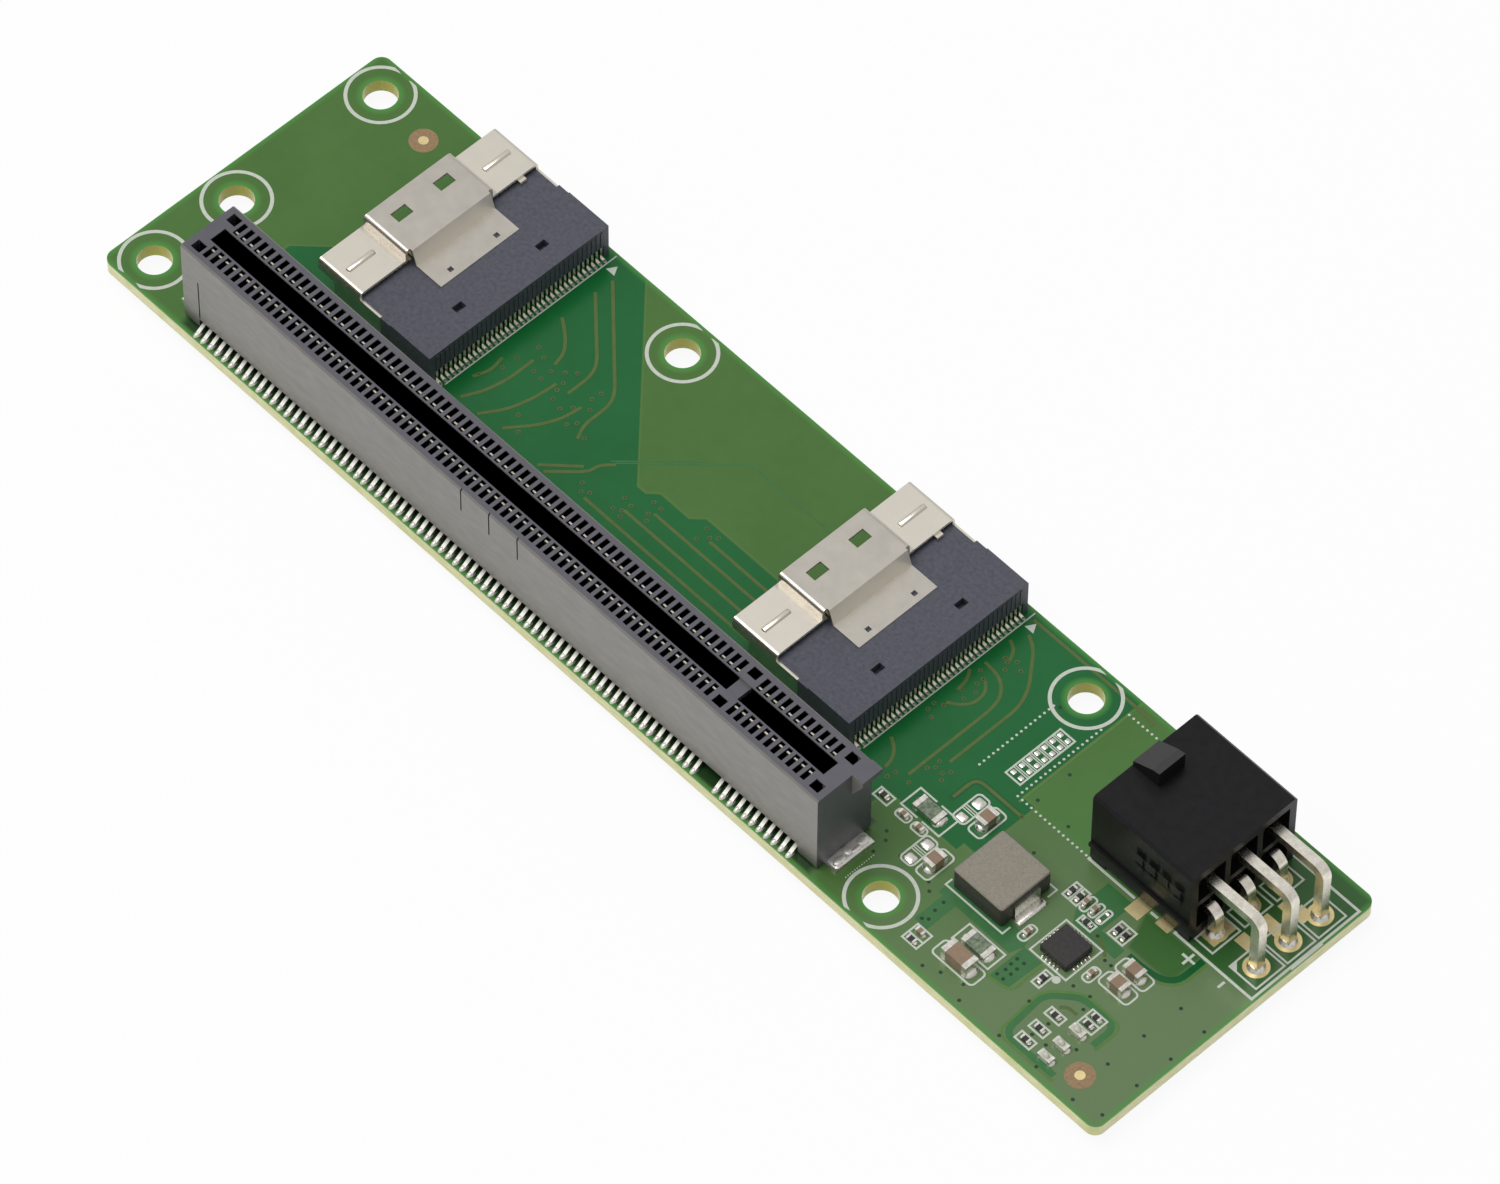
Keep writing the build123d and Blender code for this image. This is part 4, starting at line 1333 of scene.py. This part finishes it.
@dataclass
class EdgeSlot:
    """The long upright slot, its contacts and the solder at their feet. Lengths are in millimetres."""

    shop: Workshop
    long_contacts: int = 71
    short_contacts: int = 11
    first: float = 1.5
    toe: float = 4.487
    solder_size: Size = (0.33, 0.62, 0.3)
    solder_back: float = 0.42
    foot_start: float = 3.5
    cavity_half_width: float = 2.95
    cavity_top: float = 11.1
    cavity_left: float = -73.3
    cavity_right: float = 13.3
    key_half: float = 0.8
    key_half_width: float = 1.0
    key_shade: float = 10.2
    # The long sides' paler, warmer tones are a painted reflection of the floor.
    side_reflection_tones: tuple[Colour, Colour] = (to_linear(116, 112, 105), to_linear(134, 129, 121))
    # Painted shade at the foot of the long sides.
    side_foot_shade: Colour = to_linear(70, 70, 66)
    # Painted shade inside the cavities.
    cavity_shade: Colour = to_linear(2, 2, 3)
    # Painted shade at the housing and a painted highlight at the toes.
    foot_shade_to_highlight: tuple[Colour, Colour] = (to_linear(96, 94, 88), to_linear(240, 237, 228))
    tab_middle: Size = (15.15, 0.1, 0.2)
    tab_solder: Size = (1.75, 4.95, 0.2)
    lump_foot: float = 0.3
    lump_height: float = 0.22
    tab_lumps: tuple[tuple[float, float, float, float], ...] = (
        (15.2, 1.75, 0.6, 0.75), (15.5, 0.75, 0.32, 0.8), (15.05, -0.15, 0.6, 0.45), (15.3, -1.4, 0.5, 0.8))

    def build(self) -> None:
        """Dress the slot's nodes and solder its feet."""
        self.shop.dress(self.moulding(), "slot_housing")
        self.shop.dress(self.strips(), "slot_contacts_near", "slot_contacts_far")
        self.shop.dress(self.shop.material(Metal.SOLDER), "slot_hold_downs")
        self.solder_feet()
        self.solder_hold_downs()

    def moulding(self) -> bpy.types.Material:
        """Make the slot's material: blue-grey, with a painted reflection making its long sides paler, painted
        shade toward their foot and painted shade blacking out its cavities.

        Returns:
            The material.
        """
        shader = Shader("slot_body", self.shop.datum).apply(Plastic.SLOT.value)
        x, y, z = shader.axes()
        streaks = shader.noise(0.9, 4.0, (0.4, 1.0, 1.0)).over(0.5, 0.5)
        # Painted reflection: faces that look along y take paler, warmer tones than the top.
        side = shader.blend(*self.side_reflection_tones, streaks)
        # Painted shade darkens the sides toward their foot.
        side = shader.blend(self.side_foot_shade, side, z.over(1.0, 2.6))
        outer = shader.blend(shader.colour(), side, shader.facing()[1].size().over(0.6, 0.4))
        # Painted shade: the cavities, all but the key's top, are painted black and made fully metallic so that
        # they take no light.
        beside_key = (x.size() - self.key_half).most(self.key_shade - z, y.size() - self.key_half_width)
        in_cavity_shade = (self.cavity_half_width - y.size()).least(
            self.cavity_top - z, x - self.cavity_left, self.cavity_right - x, beside_key).over(0.02, 0.04)
        shader.feed(shader.body.inputs["Metallic"], in_cavity_shade)
        return shader.paint(shader.blend(outer, self.cavity_shade, in_cavity_shade))

    def strips(self) -> bpy.types.Material:
        """Make the contacts' material: dull in the cavities, with painted shade at the housing grading to a
        painted highlight at the toes.

        Returns:
            The material.
        """
        shader = Shader("slot_strips", self.shop.datum).apply(Metal.CONTACT.value)
        reach = shader.axes()[1].size()
        # Painted shade near the housing, brightening to a painted highlight at the toes.
        foot = shader.blend(*self.foot_shade_to_highlight, reach.over(self.foot_start, 0.75))
        return shader.paint(shader.blend(shader.colour(), foot, reach.over(self.foot_start - 0.6, 0.3)))

    def solder_feet(self) -> None:
        """Model one solder fillet and set it at every foot of both rows."""
        datum = self.shop.datum
        blob = Bench.dome(Vector((0, 0, 0)), tuple(size * MM for size in self.solder_size))
        offsets = [-(self.first + i) for i in range(self.long_contacts)]
        offsets += [self.first + i for i in range(self.short_contacts)]
        reach = self.toe - self.solder_back
        places = [Matrix.Translation(datum.at(x, y)) for x in offsets for y in (-reach, reach)]
        self.shop.file(Bench.copies(blob, places, "slot_solder"), Metal.FILLET, "end_metal")

    def solder_hold_downs(self) -> None:
        """Heap the uneven solder on the right hold-down's tab, and mirror it on the left one's."""
        datum = self.shop.datum
        low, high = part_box("slot_hold_downs")
        middle = (low.x + high.x) / 2
        right = datum.at(*self.tab_middle)
        size = tuple(side * MM for side in self.tab_solder)
        made = [Bench.cushion(Vector((x, right.y, right.z)), size) for x in (right.x, 2 * middle - right.x)]
        for x, y, half_length, half_width in self.tab_lumps:
            centre = datum.at(x, y, self.lump_foot)
            size = (half_length * MM, half_width * MM, self.lump_height * MM)
            made += [
                Bench.dome(Vector((place, centre.y, centre.z)), size, 10)
                for place in (centre.x, 2 * middle - centre.x)]
        self.shop.file(Bench.join("hold_down_solder", made), Metal.FILLET, "end_metal")


@dataclass
class CablePort:
    """One cable port: its moulding, its folded shell, its tails and the fingers on its tongue.

    Lengths are in millimetres. Heights are above the board's top.
    """

    shop: Workshop
    number: int
    contacts: int = 37
    pitch: float = 0.6
    wing_start: float = 6.3
    # Painted highlight on the shell's wings and folds.
    sheet_highlight: Colour = to_linear(238, 231, 217)
    rib: tuple[float, float] = (0.08, 0.26)
    rib_foot: float = 1.8
    rib_below_top: float = 0.35
    rib_out: float = 0.03
    drop_size: Size = (0.3, 0.19, 0.09)
    drop_back: float = 0.12
    bead_from_rear: float = 12.93
    bead_spacing: float = 17.8
    bead_foot: float = 4.99
    bead_size: Size = (0.62, 3.5, 0.2)
    tongue_faces: tuple[float, float] = (2.75, 1.75)
    finger_size: Size = (1.9, 0.34, 0.03)
    finger_inset: float = 0.2
    prefix: str = field(init=False)
    mouth: Vector = field(init=False)
    rear: Vector = field(init=False)
    tails: tuple[Vector, Vector] = field(init=False)
    middle: float = field(init=False)
    start: float = field(init=False)

    def __post_init__(self) -> None:
        """Find the port's own nodes in the frame."""
        self.prefix = f"cable_port_{self.number}"
        self.mouth, self.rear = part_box(f"{self.prefix}_housing")
        self.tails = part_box(f"{self.prefix}_contacts")
        self.middle = (self.tails[0].y + self.tails[1].y) / 2
        self.start = self.middle - (self.contacts - 1) / 2 * self.pitch * MM

    def build(self) -> None:
        """Dress the port's nodes and add its fine parts."""
        shop, prefix = self.shop, self.prefix
        sheet = self.folded_sheet()
        shop.dress(shop.material(Plastic.PORT), f"{prefix}_housing")
        shop.dress(sheet, f"{prefix}_shell")
        shop.dress(shop.material(Metal.TIN), f"{prefix}_contacts")
        self.comb()
        self.tail_solder()
        self.beads(sheet)
        self.fingers()

    def row(self, piece: bpy.types.Object) -> bpy.types.Object:
        """Repeat a piece at the pitch of the contacts."""
        return Bench.row(piece, self.contacts, Vector((0, self.pitch * MM, 0)))

    def comb(self) -> None:
        """Add the comb of thin ribs between the tails, on the moulding's rear face."""
        foot = self.shop.datum.origin.z + self.rib_foot * MM
        height = self.rear.z - self.rib_below_top * MM - foot
        centre = Vector((self.rear.x + self.rib_out * MM, self.start, foot + height / 2))
        rib = Bench.bar(centre, (self.rib[0] * MM, self.rib[1] * MM, height))
        self.shop.file(self.row(Bench.rename(rib, f"{self.prefix}_comb")), Plastic.PORT, "port_moulding")

    def tail_solder(self) -> None:
        """Set a drop of solder at the toe of every tail."""
        low, high = self.tails
        toe = Vector((high.x - self.drop_back * MM, self.start, low.z))
        drop = Bench.dome(toe, tuple(size * MM for size in self.drop_size), 5)
        self.shop.file(self.row(Bench.rename(drop, f"{self.prefix}_solder")), Metal.FILLET, "end_metal")

    def folded_sheet(self) -> bpy.types.Material:
        """Make the shell's material: its own nickel on the level hood, with a painted highlight on its wings
        and on its rearward folds, where it is also made less metallic.

        Returns:
            The material.
        """
        shader = Shader(f"{self.prefix}_sheet", self.shop.datum).apply(Metal.NICKEL.value)
        middle = (self.middle - self.shop.datum.origin.y) / MM
        facing = shader.facing()
        rearward, level = facing[0], facing[2]
        # Painted highlight on the level wings and on the rearward folds.
        wing = (shader.axes()[1] - middle).size().over(self.wing_start, 0.3).least(level.over(0.9, 0.08))
        fold = (1.0 - level.over(0.5, 0.4)).least(rearward.over(0.1, 0.2))
        shader.feed(shader.body.inputs["Metallic"], 1.0 - fold * 0.5)
        return shader.paint(shader.blend(shader.colour(), self.sheet_highlight, (wing * 0.6).most(fold)))

    def beads(self, sheet: bpy.types.Material) -> None:
        """Round the two stiffening beads pressed into the shell's wings.

        Args:
            sheet: the shell's material.
        """
        made = []
        for side in (-0.5, 0.5):
            centre = Vector((
                self.rear.x - self.bead_from_rear * MM,
                self.middle + side * self.bead_spacing * MM,
                self.shop.datum.origin.z + self.bead_foot * MM))
            made.append(Bench.cushion(centre, tuple(size * MM for size in self.bead_size)))
        self.shop.file(Bench.join(f"{self.prefix}_beads", made), sheet, "shell_metal")

    def fingers(self) -> None:
        """Plate the gold fingers on both sides of the tongue in the port's mouth."""
        length, width, thick = (size * MM for size in self.finger_size)
        upper, lower = (self.shop.datum.origin.z + height * MM for height in self.tongue_faces)
        made = []
        for height in (upper + thick / 2, lower - thick / 2):
            centre = Vector((self.mouth.x + self.finger_inset * MM + length / 2, self.start, height))
            made.append(self.row(Bench.bar(centre, (length, width, thick))))
        self.shop.file(Bench.join(f"{self.prefix}_fingers", made), Metal.GOLD, "contact_metal")


@dataclass
class PowerHeader:
    """The right-angle power header: its shroud, its bent pins and their soldered pads.

    Lengths are in millimetres.
    """

    shop: Workshop
    outer_pins: float = 50.2
    inner_pins: float = 44.8
    rows: tuple[float, ...] = (18.74, 22.94, 27.14)
    ring_outer: float = 1.32
    ring_inner: float = 0.6
    ring_height: float = 0.02
    bar_height: float = 0.012
    bar_step: float = 0.0007
    bars: tuple[tuple[float, float, float, float], ...] = (
            (46.7, 49.3, 22.3, 23.7), (46.7, 48.5, 19.3, 20.65), (48.2, 49.85, 25.3, 26.7),
            (46.8, 48.1, 24.9, 26.0), (37.25, 39.0, 14.3, 17.0), (40.3, 41.95, 15.3, 17.0),
            (44.2, 46.0, 17.4, 20.4))
    cone_radii: tuple[float, float] = (0.95, 0.62)
    cone_height: float = 0.5
    cone_lift: float = 0.245
    latch_foot: float = 10.1
    # Painted sheen on the latch's ramp.
    latch_sheen: Colour = to_linear(66, 64, 64)
    panel: tuple[float, float] = (1.3, 1.2)
    panel_thickness: float = 0.012
    panel_gap: float = 0.35
    panels: int = 4
    first_panel: float = 6.3
    panel_levels: tuple[float, ...] = (5.3, 6.9)

    def build(self) -> None:
        """Dress the header's nodes, and add its pads, its solder and its panels."""
        shop = self.shop
        shop.dress(self.shroud(), "power_header_housing")
        shop.dress(shop.material(Metal.TIN), "power_pins_upper", "power_pins_lower")
        self.pads()
        self.solder()
        self.relief()

    def pads(self) -> None:
        """Set the gold rings around the pins and the gold copper beside them."""
        datum = self.shop.datum
        rings = [
            Bench.ring(datum.at(x, y), self.ring_outer * MM, self.ring_inner * MM, 36)
            for x in (self.outer_pins, self.inner_pins) for y in self.rows]
        made = [Bench.raise_up(ring, self.ring_height * MM) for ring in rings]
        for i, (left, right, near, far) in enumerate(self.bars):
            centre = datum.at((left + right) / 2, (near + far) / 2)
            bar = Bench.slab(centre, (right - left) * MM, (far - near) * MM)
            made.append(Bench.raise_up(bar, (self.bar_height + i * self.bar_step) * MM))
        self.shop.file(Bench.join("power_pads", made), Metal.GOLD, "end_metal")

    def solder(self) -> None:
        """Model one solder cone and set it round every pin, above and below the board."""
        datum = self.shop.datum
        foot, tip = (radius * MM for radius in self.cone_radii)
        bpy.ops.mesh.primitive_cone_add(vertices=24, radius1=foot, radius2=tip, depth=self.cone_height * MM)
        cone = Bench.soften(Bench.settle(bpy.context.object), 50)
        over = Matrix.Rotation(math.pi, 4, "X")
        places = []
        for x in (self.outer_pins, self.inner_pins):
            for y in self.rows:
                places.append(Matrix.Translation(datum.at(x, y, self.cone_lift)))
                places.append(Matrix.Translation(datum.at(x, y, -datum.thickness - self.cone_lift)) @ over)
        self.shop.file(Bench.copies(cone, places, "power_solder"), Metal.SOLDER, "end_metal")

    def shroud(self) -> bpy.types.Material:
        """Make the shroud's material: black, with a painted sheen making the latch's ramp paler.

        Returns:
            The material.
        """
        shader = Shader("header_shroud", self.shop.datum).apply(Plastic.HEADER.value)
        # Painted sheen on the upward faces of the latch's ramp.
        ramp = (shader.axes()[2] - self.latch_foot).over(0.2, 0.2).least(shader.facing()[2].over(0.4, 0.2))
        return shader.paint(shader.blend(shader.colour(), self.latch_sheen, ramp))

    def relief(self) -> None:
        """Raise the shallow moulded panels on the shroud's two long sides."""
        low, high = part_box("power_header_housing")
        across, up = (size * MM for size in self.panel)
        size = (across, 2 * self.panel_thickness * MM, up)
        step = Vector((across + self.panel_gap * MM, 0, 0))
        start, base = low.x + self.first_panel * MM, self.shop.datum.origin.z
        made = [
            Bench.row(Bench.bar(Vector((start, side, base + level * MM)), size), self.panels, step)
            for side in (low.y, high.y) for level in self.panel_levels]
        self.shop.file(Bench.join("header_panels", made), Plastic.HEADER, "header_moulding")


@dataclass
class PowerSupply:
    """The small parts around the inductor and the controller chip. Lengths are in millimetres."""

    shop: Workshop
    ended: tuple[str, ...] = ("capacitor_ends", "resistor_ends", "fuse_ends", "led_ends")
    skirt_out: float = 0.08
    skirt_gain: float = 0.24
    skirt_side: float = 0.03
    skirt_spread: float = 0.55
    skirt_rise: float = 0.6
    skirt_top: float = 0.5
    core_corner: float = 0.3
    core_edge: float = 0.12
    core_parting: float = 1.25
    speck_tone: Colour = to_linear(112, 106, 96)
    # Painted shade on the block's sides.
    flank_shade_tones: tuple[Colour, Colour] = (to_linear(76, 74, 65), to_linear(62, 61, 53))
    lower_tones: tuple[Colour, Colour] = (to_linear(60, 60, 53), to_linear(46, 47, 41))
    package_inset: float = 0.25
    package_corner: float = 0.12
    package_edge: float = 0.06
    chip_pitch: float = 0.5
    chip_pins: int = 5
    chip_drop: Size = (0.33, 0.14, 0.2)
    chip_drop_out: float = 0.02
    lens_share: tuple[float, float] = (0.47, 0.42)
    lens_middle: float = 0.46
    lens_height: float = 0.5
    lens_sunk: float = 0.12
    empty_pads: tuple[tuple[float, float, float, float], ...] = (
        (19.52, 12.72, 1.2, 1.15), (19.52, 10.5, 1.2, 0.95), (19.52, 6.0, 1.2, 1.05),
        (19.52, 3.8, 1.2, 1.0), (36.65, 12.8, 0.55, 0.5), (36.65, 11.75, 0.55, 0.5))
    array_rows: tuple[float, ...] = (23.75, 22.73, 21.7, 20.7, 19.7, 18.7, 17.6)
    array_columns: tuple[float, ...] = (19.15, 20.15)
    array_pad: tuple[float, float] = (0.56, 0.48)
    terminal_pads: tuple[tuple[float, float, float, float], ...] = (
        (31.5, 7.72, 1.1, 3.8), (23.84, 7.72, 1.1, 3.8))
    pad_heights: Size = (0.14, 0.06, 0.2)

    def build(self) -> None:
        """Dress every small part, and solder it down."""
        shop = self.shop
        self.bodies()
        shop.dress(shop.material(Mineral.CERAMIC), "capacitor_bodies")
        shop.dress(shop.material(Mineral.FILM), "resistor_bodies")
        shop.dress(shop.material(Mineral.FUSE), "fuse_bodies")
        shop.dress(shop.material(Plastic.LENS), "led_bodies")
        shop.dress(shop.material(Metal.SOLDER), "inductor_terminals", "controller_pads", *self.ended)
        self.skirts()
        self.bare_pads()
        self.chip_solder()
        self.lenses()

    def bodies(self) -> None:
        """Model the inductor's block and the controller's package as sharp as they look.

        The block's corners are tighter than its CAD solid's, and the package is narrower than the
        square of its pads.
        """
        low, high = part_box("inductor_core")
        core = Bench.block(low, high, self.core_corner * MM, self.core_edge * MM)
        self.shop.file(Bench.rename(core, "inductor_block"), self.pressed_core(), "inductor_powder")
        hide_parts("inductor_core")
        low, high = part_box("controller_chip")
        inset = Vector((self.package_inset, self.package_inset, 0)) * MM
        package = Bench.block(low + inset, high - inset, self.package_corner * MM, self.package_edge * MM)
        self.shop.file(Bench.rename(package, "controller_package"), Plastic.CHIP, "chip_moulding")
        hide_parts("controller_chip")

    def pressed_core(self) -> bpy.types.Material:
        """Make the inductor's material: pressed powder, with painted shade darkening its sides, and darker
        below its parting line.

        Returns:
            The material.
        """
        shader = Shader("pressed_core", self.shop.datum).apply(Mineral.POWDER.value)
        speck = shader.noise(0.12, 2.0).over(0.62, 0.15)
        top = shader.blend(shader.colour(), self.speck_tone, speck * 0.6)
        cloud = shader.noise(0.8, 2.0)
        # Painted shade on the sides, against the top.
        flank = shader.blend(*self.flank_shade_tones, cloud)
        upper = shader.blend(flank, top, shader.facing()[2].over(0.5, 0.5))
        lower = shader.blend(*self.lower_tones, cloud)
        return shader.paint(shader.blend(lower, upper, shader.axes()[2].over(self.core_parting, 0.5)))

    def skirts(self) -> None:
        """Set a solder fillet round every metal end of the chip parts."""
        made = []
        for node in self.ended:
            for low, high in self.shop.boxes(node):
                size = high - low
                reach = self.skirt_out + self.skirt_gain * max(size.x, size.y) / MM
                out_x, out_y = reach, self.skirt_side
                if size.x > size.y:
                    out_x, out_y = out_y, out_x
                centre = Vector(((low.x + high.x) / 2, (low.y + high.y) / 2, self.shop.datum.origin.z))
                radii = (
                    size.x * self.skirt_spread + out_x * MM,
                    size.y * self.skirt_spread + out_y * MM,
                    min(size.z * self.skirt_rise, self.skirt_top * MM))
                made.append(Bench.dome(centre, radii, 8))
        self.shop.file(Bench.join("chip_solder", made), Metal.SOLDER, "end_metal")

    def bare_pads(self) -> None:
        """Dome solder on the pads that hold no part, and on the inductor's two."""
        arrayed = [(x, y, *self.array_pad) for x in self.array_columns for y in self.array_rows]
        made = []
        for pads, height in zip((self.empty_pads, arrayed, self.terminal_pads), self.pad_heights):
            for x, y, length, width in pads:
                made.append(Bench.cushion(self.shop.datum.at(x, y), (length * MM, width * MM, height * MM)))
        self.shop.file(Bench.join("bare_pads", made), Metal.SOLDER, "end_metal")

    def chip_solder(self) -> None:
        """Set solder at the toe of each pad along the controller chip's four sides."""
        low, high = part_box("controller_chip")
        centre = Vector(((low.x + high.x) / 2, (low.y + high.y) / 2, self.shop.datum.origin.z))
        reach = (high.x - low.x) / 2 + self.chip_drop_out * MM
        drop = Bench.dome(Vector((0, 0, 0)), tuple(size * MM for size in self.chip_drop))
        places = []
        for quarter in range(4):
            turn = Matrix.Rotation(quarter * math.pi / 2, 4, "Z")
            for i in range(self.chip_pins):
                shift = (i - (self.chip_pins - 1) / 2) * self.chip_pitch * MM
                places.append(Matrix.Translation(centre + turn @ Vector((reach, shift, 0))) @ turn)
        self.shop.file(Bench.copies(drop, places, "controller_solder"), Metal.SOLDER, "end_metal")

    def lenses(self) -> None:
        """Set a clear dome on each indicator lamp."""
        along, across = self.lens_share
        made = []
        for low, high in self.shop.boxes("led_bodies"):
            size = high - low
            centre = Vector((
                low.x + size.x * self.lens_middle, (low.y + high.y) / 2, high.z - self.lens_sunk * MM))
            made.append(Bench.dome(centre, (size.x * along, size.y * across, self.lens_height * MM), 10))
        self.shop.file(Bench.join("led_lenses", made), Plastic.LENS, "led_lens")


@dataclass(frozen=True)
class Lamp:
    """A square soft light, aimed at the middle of the board. Metres."""

    name: str
    place: Size
    width: float
    watts: float

    def hang(self) -> None:
        """Hang the lamp."""
        data = bpy.data.lights.new(self.name, "AREA")
        data.size = self.width
        data.energy = self.watts
        lamp = bpy.data.objects.new(self.name, data)
        lamp.location = self.place
        lamp.rotation_euler = (-Vector(self.place)).to_track_quat("-Z", "Y").to_euler()
        bpy.context.scene.collection.objects.link(lamp)


@dataclass
class Studio:
    """The pale floor, the soft light and the camera at the photograph's place. Metres and degrees."""

    lamp: Lamp = Lamp("key_lamp", (-0.3, -0.25, 1.15), 0.9, 9.0)
    camera_place: Size = (0.41664, -0.39608, 0.81378)
    camera_turns: Size = (35.2296, -0.2494, 46.5721)
    lens: float = 250.82
    sensor: float = 36.0
    nearest: float = 0.05
    farthest: float = 20.0
    sky: Colour = (0.96, 0.98, 1.0)
    sky_strength: float = 0.4
    floor_size: float = 6.0
    floor_paint: Colour = (0.9, 0.9, 0.9)
    white_share: float = 0.93
    mirrored_sky: float = 0.5

    def build(self) -> None:
        """Set up everything around the object."""
        self.camera()
        self.world()
        self.floor()
        self.lamp.hang()
        bpy.context.scene.view_settings.view_transform = "Standard"

    def camera(self) -> None:
        """Set the camera where the photograph was taken from."""
        data = bpy.data.cameras.new("photo_camera")
        data.lens = self.lens
        data.sensor_width = self.sensor
        data.sensor_fit = "HORIZONTAL"
        data.clip_start = self.nearest
        data.clip_end = self.farthest
        camera = bpy.data.objects.new("photo_camera", data)
        camera.location = self.camera_place
        camera.rotation_euler = [math.radians(turn) for turn in self.camera_turns]
        bpy.context.scene.collection.objects.link(camera)
        bpy.context.scene.camera = camera

    @staticmethod
    def seen_directly(nodes: Nodes, mirrored: float) -> Signal:
        """Give how white the surroundings are to a ray.

        Args:
            nodes: the material's or world's nodes.
            mirrored: the share of white that reflections see.

        Returns:
            1 for the camera's rays, that share for mirrored ones and 0 for those that light the object.
        """
        path = nodes.add("ShaderNodeLightPath", {}, {})
        camera, glossy, through = (
            nodes.signal(path, f"Is {kind} Ray") for kind in ("Camera", "Glossy", "Transmission"))
        return camera.most(glossy * mirrored, through)

    @staticmethod
    def mix(
        nodes: Nodes, output: str, share: Signal, first: bpy.types.Node, second: bpy.types.Node,
    ) -> None:
        """Mix two shader nodes by a share into an output node.

        Args:
            nodes: the material's or world's nodes.
            output: the output node's type.
            share: how much of the second there is.
            first: the one shader.
            second: the other shader.
        """
        blend = nodes.add("ShaderNodeMixShader", {}, {0: share, 1: first.outputs[0], 2: second.outputs[0]})
        nodes.add(output, {}, {0: blend.outputs[0]})

    def world(self) -> None:
        """Make the air white to the camera, and an even soft grey as light."""
        world = bpy.data.worlds.new("studio_air")
        bpy.context.scene.world = world
        nodes = Nodes(world)
        light = nodes.add("ShaderNodeBackground", {}, {"Color": self.sky, "Strength": self.sky_strength})
        white = nodes.add("ShaderNodeBackground", {}, {"Color": (1, 1, 1)})
        self.mix(nodes, "ShaderNodeOutputWorld", self.seen_directly(nodes, self.mirrored_sky), light, white)

    def floor(self) -> None:
        """Lay a white floor that keeps a faint shadow."""
        Bench.clear_selection()
        floor = Bench.slab(Vector((0, 0, 0)), self.floor_size, self.floor_size)
        Bench.rename(floor, "studio_floor")
        material = bpy.data.materials.new("studio_white")
        nodes = Nodes(material)
        paint = nodes.add("ShaderNodeBsdfDiffuse", {}, {"Color": self.floor_paint})
        white = nodes.add("ShaderNodeEmission", {}, {"Color": (1, 1, 1)})
        share = self.seen_directly(nodes, 1.0) * self.white_share
        self.mix(nodes, "ShaderNodeOutputMaterial", share, paint, white)
        floor.data.materials.append(material)


def main() -> None:
    """Build the looks, piece by piece."""
    logging.basicConfig(level=logging.INFO, format="%(name)s: %(message)s")
    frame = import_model()
    Bench.clear_selection()
    shop = Workshop(frame)
    Studio().build()
    BoardFace(shop).build()
    EdgeSlot(shop).build()
    for number in (1, 2):
        CablePort(shop, number).build()
    PowerHeader(shop).build()
    PowerSupply(shop).build()
    Bench.clear_selection()


if __name__ == "__main__":
    main()
